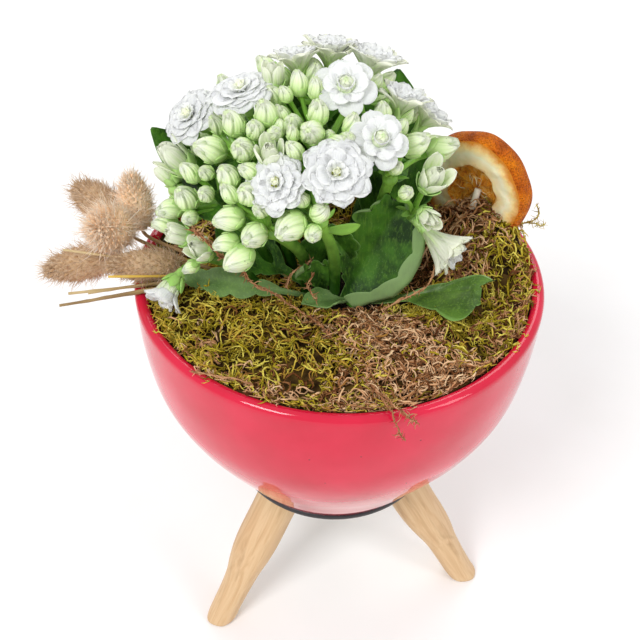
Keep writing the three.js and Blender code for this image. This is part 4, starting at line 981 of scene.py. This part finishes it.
for i, (name, (knots, thick, buds, carried)) in enumerate(sprays.items()):
    rng = np.random.default_rng(200 + i)
    spray = Shape()
    fork = np.array(knots[2], float)
    path = smooth(knots, 26)
    girth = thick * (1 + 0.05 * np.sin(np.linspace(0, 9, 26) + i)) * np.linspace(1.12, 0.95, 26)
    strands(spray, path[None], girth[None], 14, [rng.random()], 0, capped=True)
    way = unit(path[-1] - path[-4])
    knob = fork + way * np.array([-3.0, -1.5, 0, 1.5, 3.2])[:, None]
    strands(spray, knob[None], thick * np.array([[0.98, 1.3, 1.45, 1.1, 0.25]]), 14, [0.5], 0)
    for k in range(3):
        bract(spray, fork + way * (1.2 * k - 1), heading(120 * k + 40 * rng.random(), 25), rng)
    for k in range(INNER_LEAVES):
        out = 0.5 + 0.26 * rng.random()
        bearing, rise = 137.5 * k + 40 * i, 22 + 56 * rng.random()
        at, outward = on_crown(bearing, rise, out)
        open_front = -110 < (bearing + 180) % 360 - 180 < -10 and rise < 52
        if np.linalg.norm(at - fork) < INNER_REACH and not open_front:
            bract(spray, at - outward * 3, outward + 0.5 * rng.normal(size=3), rng, 12 + 4 * rng.random(), 10,
                  slot=4)
    for k, row in enumerate(list(buds) + inner_buds[name]):
        spot, facing = on_crown(*row[:2], INNER_OUT if k >= len(buds) else 1.0)
        stray = 0.22 * rng.normal(size=3)
        nod = unit(0.45 * facing + 0.7 * unit(spot - fork) + stray)
        size = row[2]
        twig(spray, fork, spot - nod * size * 0.56, nod, rng, 0.62 + size * 0.055)
        if len(row) > 3:
            opening_bud(spray, spot, nod, size, rng)
        else:
            bud(spray, spot, nod, size, rng, hidden=k >= len(buds) and size < 6)
    if name == "spray_front":
        bract(spray, path[22], (0.95, -0.35, 0.1), rng, 12, 5.2)
    if name == "spray_middle":
        for spot, tilt in (((-13, 19, 203), -0.1), ((0, 24, 210), 0.1), ((-25, 17, 200), -0.3),
                           ((-17, 23, 219), -0.1)):
            petal_ring(spray, np.array(spot), unit([tilt, 0.25, 1.0]), rng, 1, 25, 18, (84, 70), 0.0,
                       wrap=0.1, point=1.8, slot=4, rows=9, thick=0.7, lot=0)
    for bloom in carried:
        centre, facing, size, _ = bloom_place(bloom)
        twig(spray, fork, centre - facing * 8.2, facing, rng, 1.25)
    if name == "spray_low_left":
        spot, facing = np.array([-63.0, -26, 185.5]), unit([-0.5, -0.7, -0.5])
        twig(spray, fork, spot - facing * 7, facing, rng, 1.5)
        calyx(spray, spot - facing * 1.5, facing, rng, 2.3, 8.5, slot=2)
        opening_bud(spray, spot - facing * 0.5, facing, 9, rng)
        plan = ((5, 9.0, (62, 40)), (5, 8.8, (68, 52)), (4, 8.2, (80, 64)))
        for ring, (count, long, rises) in enumerate(plan):
            petal_ring(spray, spot - facing * 2, facing, rng, count, long, 7.4, rises, 1.0 + ring, (2.2, 0),
                       ruffle=0.5, point=3.2, ragged=0.4, slot=5, rows=9)
    spray.piece(name + "_buds", [STALK, BUD_SKIN, SEPAL, HEART_PETAL, LEAF_GREEN, WHITE_PETAL], "stem_green",
                name)


# Leaves: the solids' spine, width and lobes, with a rounded margin, a sunken midrib and soft waves. The
# stalk is a share of a leaf's length, and a folded margin turns by an angle in radians.
STALK_SHARE = 0.16
FOLD_TURN = 2.75


def leaf(name, root, tip, face, width, cup=14, sag=4, lobes=4, broad=0.62, full=0.75, bite=0.18, fold=0.0,
         ear=0.0, fingers=0.0, skin=LEAF_GREEN, slot="leaf_green"):
    """A leaf blade on its stalk. bite is the depth of the notches, fold the width of the right margin that
    turns over and shows its pale underside, ear how far the left corner reaches past the tip, and fingers
    the length of the lobes round the tip."""
    rng = np.random.default_rng(sum(map(ord, name)))
    start, end = np.array(root, float), np.array(tip, float)
    axis = unit(end - start)
    side = unit(np.cross(axis, face))
    over = unit(np.cross(side, axis))
    middle = (start + end) / 2 - over * sag
    t = (np.linspace(0, 1, 56) ** 0.9)[:, None]
    spine = (1 - t) ** 2 * start + 2 * t * (1 - t) * middle + t**2 * end
    share = np.clip((t - STALK_SHARE) / (1 - STALK_SHARE), 0, 1)
    outline = np.sin(np.pi * share ** (math.log(0.5) / math.log(broad))) ** full
    lobe = 1.03 - bite * (1 - np.abs(np.cos(np.pi / 2 * share * (2 * lobes + 1))) ** 0.6)
    stalk = 0.11 + 0.06 * t / STALK_SHARE
    reach = np.where(t < STALK_SHARE, stalk, np.maximum(0.17, outline * lobe))
    if fingers:
        reach = np.where(t > 0.7, np.maximum(reach, 0.55), reach)
    else:
        reach = np.where(t > 0.985, outline * lobe + 0.05, reach)
    left, right_width = width if isinstance(width, tuple) else (width, width)
    j = np.sin(np.linspace(-np.pi / 2, np.pi / 2, 31 if fold or fingers else 15))
    half = reach * np.where(j < 0, left, right_width)
    if fold:
        # The folded side runs smooth from the root, and only its turned margin is lobed
        plain = np.sin(np.pi * np.clip((t + 0.12) / 1.12, 0, 1) ** 1.35) ** 0.45
        plain = np.clip(0.5 + 1.6 * t, 0, 1) * plain
        half = np.where(j > 0, right_width * plain + 0.6, half)
    flap = np.where(j > 0, fold, 0) * ((1.1 - 0.6 * t) * soft_step(t, 0.0, 0.1) * soft_step(1 - t, 0, 0.12))
    flap = flap * (0.82 + 0.34 * np.abs(np.sin(13 * t)) ** 0.6)
    away = j * (half + flap)
    # The folded margin turns over on a small radius, then lies back over the blade
    turn_radius = 1.1 * soft_step(flap, 0, 2.5)
    past = np.where(turn_radius > 0.02, np.maximum(np.abs(away) - half + turn_radius, 0), 0)
    angle = np.minimum(past / np.maximum(turn_radius, 0.02), FOLD_TURN)
    beyond = np.maximum(past - FOLD_TURN * turn_radius, 0)
    folded = half - turn_radius + turn_radius * np.sin(angle) + beyond * np.cos(angle)
    away = np.where(past > 0, np.sign(j) * folded, away)
    rise = np.tan(np.radians(cup)) * np.abs(away) ** 1.25 / np.maximum(half, 1) ** 0.25
    rise = rise + turn_radius * (1 - np.cos(angle)) + beyond * np.sin(angle)
    wave = 0.55 * np.sin(t * 9 + 2.2 * j + rng.random() * 6) * np.abs(j) * soft_step(t, 0.2, 0.5)
    rib = -0.5 * np.exp(-(away / 1.6) ** 2) * soft_step(t, 0.05, 0.25) * (t < 0.93)
    rise = rise + wave + np.where(past > 0, 0, rib)
    tip_share = 1 if fingers else soft_step(1 - t, 0, 0.08)
    corner = ear * np.clip(-j, 0, 1) ** 3 * soft_step(t, 0.45, 0.85) * tip_share
    comb = fingers * np.abs(np.cos(3 * np.arcsin(j))) ** 0.7 * soft_step(t, 0.55, 1.0)
    top = spine[:, None] + side * away[..., None] + over * rise[..., None] + axis * (corner + comb)[..., None]
    normal = unit(np.cross(np.gradient(top, axis=1), np.gradient(top, axis=0)))
    body = np.where(t < STALK_SHARE, 1.6, 1.7) * np.sqrt(np.clip(1 - j**2, 0, 1)) * 0.85 + 0.35
    body = (0.55 if fingers else 1) * body * np.clip((1.03 - t) / 0.3, 0.22, 1) * np.where(past > 0, 0.6, 1)
    shape = Shape()
    blade(shape, top, top - normal * body[..., None], j, t, np.repeat([0, 1], len(j)), closed=True)
    shape.piece(name + "_blade", [skin], slot, name)


PALE = dict(skin=LEAF_PALE, slot="pale_leaf")
leaf("leaf_front_big", (1.5, -11.5, 169.6), (22.5, -1, 208.5), (0.15, -0.8, 0.6), (16, 16), cup=20, lobes=5,
     broad=0.54, full=0.45, bite=0.34, fold=9, fingers=2.4)
leaf("leaf_front_low", (5, -10, 169.6), (-14, -21.5, 176.8), (-0.2, -0.2, 0.95), 5.2, cup=15, sag=-3, lobes=3,
     **PALE)
leaf("leaf_right", (10, -10, 169.2), (51, -16.5, 182), (-0.1, -0.25, 0.95), (6, 15), cup=9, sag=-1, lobes=2,
     broad=0.82, skin=LEAF_BRIGHT, full=0.55, bite=0.2, ear=7, fingers=2.6)
leaf("leaf_left_low", (-10, -9, 169.6), (-61, -13, 181.5), (0, -0.6, 0.8), (6.5, 5.2), cup=10, sag=-8,
     bite=0.4, **PALE)
leaf("leaf_left_middle", (-14, -1, 170), (-48, 1, 194), (0.2, -0.6, 0.8), 11, sag=-2)
leaf("leaf_front_notched", (-5, -9, 169.6), (-9, -14.5, 189.5), (0, -0.9, 0.4), 8.5, cup=6, sag=1, lobes=2,
     broad=0.78, full=0.4, bite=0.2, fingers=4.0)
leaf("leaf_inner", (-4, -1, 169.6), (-4, -10, 206), (0, -0.9, 0.4), 11, cup=16, sag=3)
leaf("leaf_tall_right", (9, 14, 169.6), (20, 40, 242), (0.2, -0.8, 0.6), 14, sag=5)
leaf("leaf_inner_right", (13, 11, 169.6), (31, 21, 218), (0.1, -0.8, 0.5), 10)
leaf("leaf_left_tip", (-22, 10, 169.6), (-72, 20, 226), (0.5, -0.3, 0.8), 10, sag=8)
leaf("leaf_left_back", (-18, 14, 169.6), (-64, 44, 203), (0.4, -0.2, 0.9), 13)
leaf("leaf_back", (-8, 16, 169.6), (-20, 64, 200), (0, -0.4, 0.9), 14)
leaf("leaf_back_right", (6, 13, 169.6), (38, 52, 204), (-0.3, -0.4, 0.9), 13)


# Bunny-tail grass: a seed head under a coat of fine hairs that lean towards its tip. Each head has so
# many hairs, and among them husks.
# The plain skins, and the same skins darkened as painted shade for three of the heads
PLAIN_TAILS, SHADED_TAILS = (TAIL_HAIR, TAIL_CORE), (SHADED_TAIL_HAIR, SHADED_TAIL_HEAD)
HAIRS, HUSKS = 2520, 160


def tail(name, base, tip, radius, stem_knots, seed, skins):
    """One seed head on its stem, which starts inside the head."""
    rng = np.random.default_rng(300 + seed)
    start, end = np.array(base, float), np.array(tip, float)
    length = np.linalg.norm(end - start)
    axis = (end - start) / length
    shape = Shape()
    t = np.linspace(0, 1, 18)
    core = radius * 0.78 * np.interp(t, [0, 0.1, 0.3, 0.6, 0.85, 1], [0.3, 0.66, 0.92, 1, 0.62, 0.08])
    middle = start + axis * (length * t)[:, None]
    strands(shape, middle[None], core[None], 20, [0.5], 1, hint=across(axis)[0])

    def seats(share, turn, shift, sunk):
        """Places on the core, and the ways out of it there."""
        outward = rays(axis, turn)
        depth = np.interp(share, t, core)[:, None]
        return start + axis * (length * shift)[:, None] + outward * depth * sunk, outward

    share = (np.arange(HAIRS) + rng.random(HAIRS)) / HAIRS
    turn = np.arange(HAIRS) * GOLDEN_TURN + 0.5 * rng.random(HAIRS)
    seat, outward = seats(share, turn, 0.02 + 0.95 * share, 0.75)
    lean = unit(outward * (1 - 0.45 * share)[:, None] + axis * (0.25 + 1.0 * share)[:, None]
                + 0.35 * rng.normal(size=(HAIRS, 3)))
    wisp = rng.random(HAIRS) < 0.16
    long = (radius * (0.27 + 0.35 * rng.random(HAIRS)) * (1 + 0.7 * wisp))[:, None]
    droop = 0.16 * long * unit(rng.normal(size=(HAIRS, 3)))
    path = np.stack([seat, seat + lean * long * 0.55 + droop, seat + lean * long], 1)
    strands(shape, path, np.array([[0.16, 0.1, 0.02]]), 3, rng.random(HAIRS), 0)
    share = (np.arange(HUSKS) + 0.5) / HUSKS
    seat, outward = seats(share, np.arange(HUSKS) * GOLDEN_TURN, share, 0.8)
    grow = unit(outward * 0.7 + axis * 0.8) * radius * 0.34
    path = seat[:, None] + grow[:, None] * np.linspace(0, 1, 4)[None, :, None]
    strands(shape, path, np.array([[0.3, 0.75, 0.5, 0.05]]), 5, rng.random(HUSKS), 1)
    strands(shape, smooth([start + axis * 3, *stem_knots], 22)[None], 0.72, 8, [0.5], 2, capped=True)
    shape.piece(name + "_fluff", [*skins, GRASS_STEM], "grass_beige", name)


tail("tail_back", (-90, 26, 180.5), (-109, 38, 184), 8.8,
     ((-76, 20, 179.6), (-52, 11, 173), (-36, 6, 160)), 11, SHADED_TAILS)
tail("tail_upright", (-79.5, 15.5, 181.5), (-83, 22, 202), 7.8,
     ((-76, 13, 179.3), (-55, 8, 172), (-38, 3, 160)), 12, PLAIN_TAILS)
tail("tail_facing", (-84.5, 7, 187), (-91.5, -5.5, 198), 11,
     ((-77, 9, 179.6), (-56, 4, 172), (-40, 0, 160)), 13, PLAIN_TAILS)
tail("tail_low", (-86, 1, 180), (-114, -4, 175), 8.2,
     ((-78, 2, 179.4), (-58, 0, 172), (-42, -3, 160)), 14, SHADED_TAILS)
tail("tail_on_rim", (-61, -9, 184.5), (-86.5, -14, 186.5), 7,
     ((-54, -6, 181.5), (-45, -1, 172), (-42, 0, 162)), 15, SHADED_TAILS)


# Cut straws over the left rim: each one's outer end and its lot, which sets its shade
straws = Shape()
straw_knot = np.array([-49.0, -10, 178.2])
straw_ends = (((-104, -27.8, 178.5), 0.05), ((-96.3, -25.7, 178.5), 0.15), ((-102, -21, 178.5), 0.45),
              ((-94.5, -21, 179), 0.35), ((-85, -24, 190), 1.0), ((-105, -8, 189), 0.62))
for i, (end, lot) in enumerate(straw_ends):
    short = i == 5
    path = np.linspace(straw_knot + [0, (i - 1.5) * 0.8, 0.6 * short], end, 18)
    path[:, 2] += 0.6 * np.sin(np.linspace(0, 3.1, 18)) * (i % 2)
    path = path[8:] if short else path
    girth = np.full(len(path), 0.54 if i < 4 else 0.46)
    girth[[-9, -4]] *= 1.25
    strands(straws, path[None], girth[None], 9, [lot], capped=True)
straws.piece("cut_straws", [STRAW], "straw", "grass_straws")


# Dried orange slice: rind, spongy pith and a shrunken pulp with membranes, standing on edge
SLICE_AT = np.array([54.6, 29.9, 196.5])
SLICE_FACES = heading(-128, 3)
SLICE_R, SLICE_HALF, PULP_R, PULP_SUNK = 23.0, 5.0, 11.0, 3.0


def strings(shape, sign):
    """Pale dried membranes that cross the pulp as thin curled strings."""
    rng = np.random.default_rng(900 + sign)
    one_each = (10, 1)
    t = np.linspace(0, 1, 9)
    turn = 2 * np.pi * rng.random(one_each) + (1.6 * rng.random(one_each) - 0.8) * t
    r = PULP_R * (0.12 + 0.3 * rng.random(one_each) + 0.5 * t)
    r = r * (1 + 0.1 * np.sin(9 * t + rng.random(one_each) * 6))
    h = sign * (SLICE_HALF - PULP_SUNK * (0.75 - 0.6 * t**2) + 0.6 * np.sin(7 * t + rng.random(one_each) * 6))
    strands(shape, around(SLICE_AT, SLICE_FACES, r, turn, h), 0.1 + 0.1 * rng.random(one_each), 4,
            rng.random(one_each), 1, hint=SLICE_FACES)


def orange():
    shape = Shape()
    spokes = 120
    turn = 2 * np.pi * np.arange(spokes) / spokes
    bulge = 1 + 0.012 * np.sin(5 * turn + 1) + 0.008 * np.sin(9 * turn)

    def rings(radii, heights, slot, share, flip=False):
        points = around(SLICE_AT, SLICE_FACES, radii * bulge, turn, heights)
        faces = lattice(len(share), spokes)
        shape.add(points, [faces[:, ::-1] if flip else faces], xyz(turn, share), slot)

    for sign in (1, -1):
        k = np.linspace(0, 1, 14)[:, None]
        segments = np.abs(np.sin(4.5 * turn + 0.4)) ** 0.35
        crease = 0.9 * np.sin(3.1 * turn + 9 * k) + 0.7 * np.sin(7 * turn - 14 * k)
        deep = -PULP_SUNK + 1.5 * (1 - segments) * soft_step(k, 0.1, 0.6) + 0.35 * crease
        deep = deep * (1 - soft_step(k, 0.86, 1.0)) - 0.2
        edge = 1 + 0.025 * np.sin(7 * turn + sign) + 0.02 * np.sin(11 * turn)
        rings(k * PULP_R * edge, sign * (SLICE_HALF + deep), 2, k, flip=sign > 0)
        m = np.linspace(0, 1, 10)[:, None]
        start = PULP_R * edge
        pith = start + (SLICE_R - 1.5 - start) * m
        puff = 0.35 * np.sin(np.pi * m) + 0.25 * np.sin(6 * turn + 5 * m)
        puff = (puff + 0.12 * np.sin(17 * turn + 11 * m)) * np.sin(np.pi * m) - 0.2
        rings(pith, sign * (SLICE_HALF + puff), 1, m, flip=sign > 0)
        strings(shape, sign)
    side = np.linspace(-1, 1, 14)[:, None]
    out = SLICE_R - 1.5 + 1.6 * (1 - np.abs(side) ** 2.6)
    rings(out, side * (SLICE_HALF - 0.2), 0, np.abs(side))
    return shape


orange().piece("orange_slice_dried", [RIND, PITH, PULP], "dried_peel", "orange_slice")

pick = Shape()
pick_path = np.linspace((48.5, 17, 172), SLICE_AT + SLICE_FACES * 5.4 + [3, 0, 1.5], 12)
strands(pick, pick_path[None], np.linspace(1.5, 1.35, 12)[None], 14, [0.6], capped=True)
pick.piece("pale_pick", [PICK_WOOD], "pale_pick", "orange_pick")


# Moss: a rough bed with the solids' heaps, under thousands of curled strands. The bed's dark browns are
# partly the moss's own dark base and partly painted shade in the gaps between strands. The bed runs from its
# inner radius to the bowl's wall, and the strands' places reach to the outer one.
MOSS_INNER, MOSS_OUTER, MOSS_WALL = 24.0, 74.0, BOWL_RIM - BOWL_WALL
MOSS_LEVEL, MOSS_CREST = 174.4, 175.2
# The moss sinks towards the stalks: how deep, from which radius, and over what distance
HOLLOW_DEPTH, HOLLOW_START, HOLLOW_RUN = 4.5, 22, 20
# A strand's thickness from point to point, as shares
STRAND_KNOBS = np.array([0.8, 1.15, 0.85, 1.15, 0.8, 1.05, 0.7, 0.2])
STRAND_POINTS = len(STRAND_KNOBS)
# The solids' heaps, and where a leaf lies on the moss and presses it down
heaps = ((52, 17, 16, 14.5), (69, 27, 11, 10.5), (-26, -38, 22, 3.5), (22, -42, 20, 3), (-52, -12, 12, 3.5),
         (8, 58, 20, 4), (-58, 14, 15, -6))
pressed_spots = ((30, 2, 7, 9.0), (36, 8, 6.5, 12.5), (32, -13, 11, 4.2), (47, -16, 11, 4.2),
                 (18, -8, 8, 3.0), (-38, -15, 8, 2.0))


def pressed(x, y):
    return np.max(humps(x, y, pressed_spots), axis=0)


def moss_height(x, y):
    waves = np.sin(x / 5.1 + 1.3 * np.sin(y / 7)) + np.cos(y / 4.3 + np.sin(x / 6))
    hollow = HOLLOW_DEPTH * np.maximum(0, 1 - (np.hypot(x, y) - HOLLOW_START) / HOLLOW_RUN)
    height = MOSS_LEVEL - hollow + sum(humps(x, y, heaps)) + 0.9 * waves - pressed(x, y)
    return np.maximum(height, SOIL_TOP + 1.5)


def curls(rng, x, y, lift, long, bend):
    """Curled strands that wander over the moss from their places, as strands x points x 3."""
    n, steps = len(x), STRAND_POINTS - 1
    way = rng.random(n) * 2 * np.pi
    step = (long / steps)[:, None]
    swing = bend[:, None] * np.linspace(0, 1, steps) * rng.choice([-1, 1], n)[:, None]
    turn = way[:, None] + swing + 0.3 * rng.normal(size=(n, steps)).cumsum(1)
    px = x[:, None] + np.concatenate([np.zeros((n, 1)), (np.cos(turn) * step).cumsum(1)], 1)
    py = y[:, None] + np.concatenate([np.zeros((n, 1)), (np.sin(turn) * step).cumsum(1)], 1)
    inside = np.minimum(1, (MOSS_WALL - 0.8) / np.maximum(np.hypot(px, py), 1))
    px, py = px * inside, py * inside
    t = np.linspace(0, 1, STRAND_POINTS)
    arch = lift[:, None] * np.sin(np.pi * (0.05 + 0.85 * t) + 0.6 * rng.normal(size=(n, 1)))
    arch = arch * np.clip(1 - 0.22 * pressed(px, py), 0.12, 1)
    jitter = 0.25 * rng.normal(size=(n, STRAND_POINTS))
    return xyz(px, py, moss_height(px, py) + arch + jitter - 0.7)


def fringe(rng, start, end, count):
    """Strands at the wall that climb the lip's inner side and lie over its crest."""
    b = np.radians(start + (end - start) * rng.random(count))[:, None]
    t = np.linspace(0, 1, STRAND_POINTS)
    far = MOSS_WALL + rng.choice([-0.7, 1.2, 3.4], count, p=[0.78, 0.18, 0.04])[:, None]
    near = 68 + 5 * rng.random(count)[:, None]
    r = near + (far - near) * t**0.8
    b = b + (rng.random(count)[:, None] - 0.5) * 0.22 * t + 0.012 * rng.normal(size=(count, STRAND_POINTS))
    x, y = r * np.cos(b), r * np.sin(b)
    top = np.where(far > MOSS_WALL, RIM_Z + 0.5, MOSS_CREST + 0.4 + 1.6 * rng.random(count)[:, None])
    arch = 1.2 * np.sin(np.pi * t) * rng.random(count)[:, None]
    return xyz(x, y, moss_height(x, y) * (1 - t) + top * t + arch - 0.5 * (1 - t))


# Where a cushion carries strands of the other colour, with the share of them as a spot's height
other_patches = {
    "moss_left": ((-20, -71, 11, 0.7), (-52, -50, 8, 0.4), (-8, -33, 7, 0.5), (-60, 30, 14, 0.5)),
    "moss_front": ((3, -50, 7, 0.7), (12, -68, 6, 0.5), (46, -40, 7, 0.5)),
    "moss_right": ((66, -20, 7, 0.7), (48, -6, 8, 0.7), (58, -36, 6, 0.6), (68, -4, 5, 0.6)),
    "moss_back_right": ((71, 8, 9, 0.95), (40, 58, 10, 0.6)),
}


def moss(name, start, end, strand_skin, other_skin, seed, mains, leaflets, girth, brightest=1.0):
    """A cushion between two bearings: its bed, main strands, the leaflets on them and the wall's fringe."""
    rng = np.random.default_rng(400 + seed)
    shape = Shape()
    columns = max(8, int(abs(end - start) / 2.6))
    rows = 18
    bearing = np.radians(np.linspace(start, end, columns))
    radius = np.linspace(MOSS_INNER, MOSS_WALL - 0.25, rows)[:, None]
    x, y = radius * np.cos(bearing), radius * np.sin(bearing)
    z = moss_height(x, y) - 2.0 + 1.1 * ripple(xyz(x, y), 3.0, seed) + 0.6 * rng.normal(size=x.shape)
    z[-1] = MOSS_CREST + 0.4 * rng.random(columns)
    top = xyz(x, y, z)
    edge = np.concatenate([top[0], top[1:, -1], top[-1, -2::-1], top[-2:0:-1, 0]])
    foot = edge.copy()
    foot[:, 2] = SOIL_TOP + 0.4
    shape.add(top, [lattice(rows, columns, wrap=False)[:, ::-1]], xyz(0, 0.6, rng.random(x.shape)), 1)
    shape.add(np.stack([edge, foot]), [lattice(2, len(edge))], (0, 0.6, 0.3), 1)

    nearest = MOSS_INNER - 6
    r = np.sqrt(nearest**2 + (MOSS_OUTER**2 - nearest**2) * rng.random(mains))
    b = np.radians(start + (end - start) * rng.random(mains))
    # The big front leaf pushes the strands below it outwards, which bares the dark bed there as painted shade
    # under the leaf
    r = r + humps(r * np.cos(b), r * np.sin(b), [(32, 4, math.sqrt(40), 16)])[0]
    x, y = r * np.cos(b), r * np.sin(b)
    long = 5 + 7 * rng.random(mains) ** 1.5
    tuft = 0.5 + 0.5 * ripple(xyz(x, y), 6.0, seed + 3)
    lift = (0.3 + 4.0 * rng.random(mains) ** 1.4) * (0.3 + 1.0 * tuft)
    path = curls(rng, x, y, lift, long, 0.6 + 4.4 * rng.random(mains) ** 2)
    edging = fringe(rng, start, end, int(abs(end - start) * 1.5))
    path = np.concatenate([path, edging])
    n = len(path)
    thick = girth * (0.55 + 0.75 * rng.random(n))[:, None] * STRAND_KNOBS
    pick_at = rng.integers(0, n, leaflets)
    knot = rng.integers(1, STRAND_POINTS - 1, leaflets)
    seat = path[pick_at, knot]
    run = unit(path[pick_at, knot + 1] - seat)
    way = unit(0.8 * run + 0.75 * rng.normal(size=(leaflets, 3)) + [0, 0, 0.25])
    reach = (1.0 + 1.9 * rng.random(leaflets))[:, None]
    bent = 0.25 * reach * rng.normal(size=(leaflets, 3))
    leafy = np.stack([seat, seat + way * reach * 0.5 + bent, seat + way * reach + bent], 1)
    strays = np.max(humps(path[:, 0, 0], path[:, 0, 1], other_patches[name]), axis=0)
    stray = rng.random(n) < np.maximum(strays * 1.15, 0.04)
    lots = brightest * rng.random(n)
    for slot, chosen in ((0, ~stray), (2, stray)):
        strands(shape, path[chosen], thick[chosen], 3, lots[chosen], slot,
                hint=unit(rng.normal(size=(chosen.sum(), 3))))
        with_it = chosen[pick_at]
        strands(shape, leafy[with_it], girth * np.array([[0.75, 0.6, 0.1]]), 3, lots[pick_at][with_it], slot,
                hint=unit(rng.normal(size=(with_it.sum(), 3))))
    shape.piece(name + "_strands", [strand_skin, SHADED_MOSS_BED, other_skin],
                "green_moss" if strand_skin is GREEN_MOSS else "brown_moss", name)


moss("moss_left", -297.5, -92, GREEN_MOSS, BROWN_MOSS, 21, 1950, 7900, 0.36)
moss("moss_front", -91.5, -42, BROWN_MOSS, GREEN_MOSS, 22, 1080, 900, 0.37)
moss("moss_right", -41.5, -2, GREEN_MOSS, BROWN_MOSS, 23, 500, 1800, 0.36, brightest=0.7)
moss("moss_back_right", -1.5, 62, BROWN_MOSS, GREEN_MOSS, 24, 1150, 1100, 0.37, brightest=0.85)


# Soil: fills the bowl, with a crumbly top
rng = np.random.default_rng(500)
soil = Shape()
soil_wall = [(0, 84.4), (40, 84.4), (50.5, 95), (58, 107), (65, 121), (70.5, 135), (73, 150), (73.8, 165.4)]
turned(soil, soil_wall, 60)
rings, spokes = 34, 90
radius = np.linspace(soil_wall[-1][0], 0.5, rings)[:, None]
turn = 2 * np.pi * np.arange(spokes) / spokes
flat = xyz(radius * np.cos(turn), radius * np.sin(turn))
rough = 0.9 * ripple(flat, 4.0) + 0.7 * ripple(flat, 1.7, 3.0) + 0.25 * rng.normal(size=(rings, spokes))
soil.add(flat + rough[..., None] * [0, 0, 1] + [0, 0, SOIL_TOP - 0.6], [lattice(rings, spokes)])
crumbs = 360
r = 40 * np.sqrt(rng.random(crumbs))
b = 2 * np.pi * rng.random(crumbs)
seat = xyz(r * np.cos(b), r * np.sin(b), SOIL_TOP)
size = 0.5 + 1.3 * rng.random(crumbs) ** 2
stretch = unit(rng.normal(size=(crumbs, 3))) * size[:, None]
path = seat[:, None] + stretch[:, None] * np.array([-1, -0.6, 0, 0.6, 1])[None, :, None]
lumps = size[:, None] * np.array([[0.1, 0.75, 1, 0.7, 0.1]]) * (0.8 + 0.4 * rng.random((crumbs, 5)))
strands(soil, path, lumps, 5, rng.random(crumbs))
soil.piece("crumbly_soil", [PEAT], "potting_soil", "soil")


# Loose rootlets: brown fibres with short side hairs, draped over the leaves, the moss and the rim
def rootlet(shape, knots, girth, rng, hairs, points):
    path = smooth(knots, points)
    path = path + 0.5 * ripple(path, 3.0, rng.random() * 9)[:, None] * [0.6, 0.6, 1]
    t = np.linspace(0, 1, points)
    taper = np.interp(t, [0, 0.85, 1], [1, 0.8, 0.25])
    for ply in range(3):
        phase = 2.1 * ply + 1.5 * np.sin(14 * t + ply)
        whirl = 9 * len(knots) * t + phase
        twist = xyz(np.cos(whirl), np.sin(11 * t + phase), np.sin(whirl))
        thick = girth * 0.48 * (0.7 + 0.6 * rng.random(points)) * taper
        strands(shape, (path + 0.6 * girth * taper[:, None] * twist)[None], thick[None], 4, [rng.random()], 0)
    at = rng.integers(1, points - 1, hairs)
    way = unit(rng.normal(size=(hairs, 3)) + [0, 0, 0.3])
    long = (0.9 + 2.6 * rng.random(hairs) ** 1.6)[:, None]
    bent = path[at] + way * long * 0.5 + 0.3 * rng.normal(size=(hairs, 3))
    side = np.stack([path[at], bent, path[at] + way * long], 1)
    strands(shape, side, np.array([[0.26, 0.2, 0.08]]) * girth / 0.7, 3, rng.random(hairs), 0)


rng = np.random.default_rng(600)
loose = Shape()
rootlet(loose, [(-52.5, -29.5, 217.5), (-47.8, -29.5, 213.6), (-43, -28, 205), (-38.3, -25, 197.4),
                (-31.2, -24, 187.8), (-22, -26, 183.5), (-11, -31, 179)], 0.75, rng, 153, 56)
rootlet(loose, [(-11, -31, 180), (-6, -36, 178.5), (-2, -42, 178)], 0.6, rng, 40, 16)
rootlet(loose, [(-20, -22, 186), (-18, -17, 188), (-13, -14, 190), (-10, -13, 193)], 0.55, rng, 51, 20)
rootlet(loose, [(-10, -14, 186), (-12, -19, 183), (-8, -24, 181)], 0.5, rng, 34, 16)
rootlet(loose, [(8, -60, 178), (15, -70, 179), (21, -77.5, 180), (26.5, -81.6, 178)], 0.6, rng, 74, 24)
rootlet(loose, [(12, -66, 178.6), (17, -76, 179.6), (20, -81.5, 176), (23, -82, 170.5)], 0.45, rng, 51, 22)
rootlet(loose, [(-30, -64, 177.5), (-44, -62, 179), (-52, -60.5, 179.3)], 0.5, rng, 44, 18)
rootlet(loose, [(16, -24, 178), (24.5, -21, 180.5), (33, -16, 183), (36.5, -9, 189)], 0.6, rng, 40, 22)
loose.piece("loose_rootlets", [ROOTLET], "brown_moss")

sprig = Shape()
rootlet(sprig, [(72, 24, 182), (77, 22, 186), (79, 21, 190), (77.5, 22, 195)], 0.42, rng, 51, 18)
rootlet(sprig, [(76, 22, 184.5), (80, 18, 187), (80.8, 15, 190)], 0.35, rng, 37, 14)
sprig.piece("green_moss_sprig", [GREEN_MOSS], "green_moss")
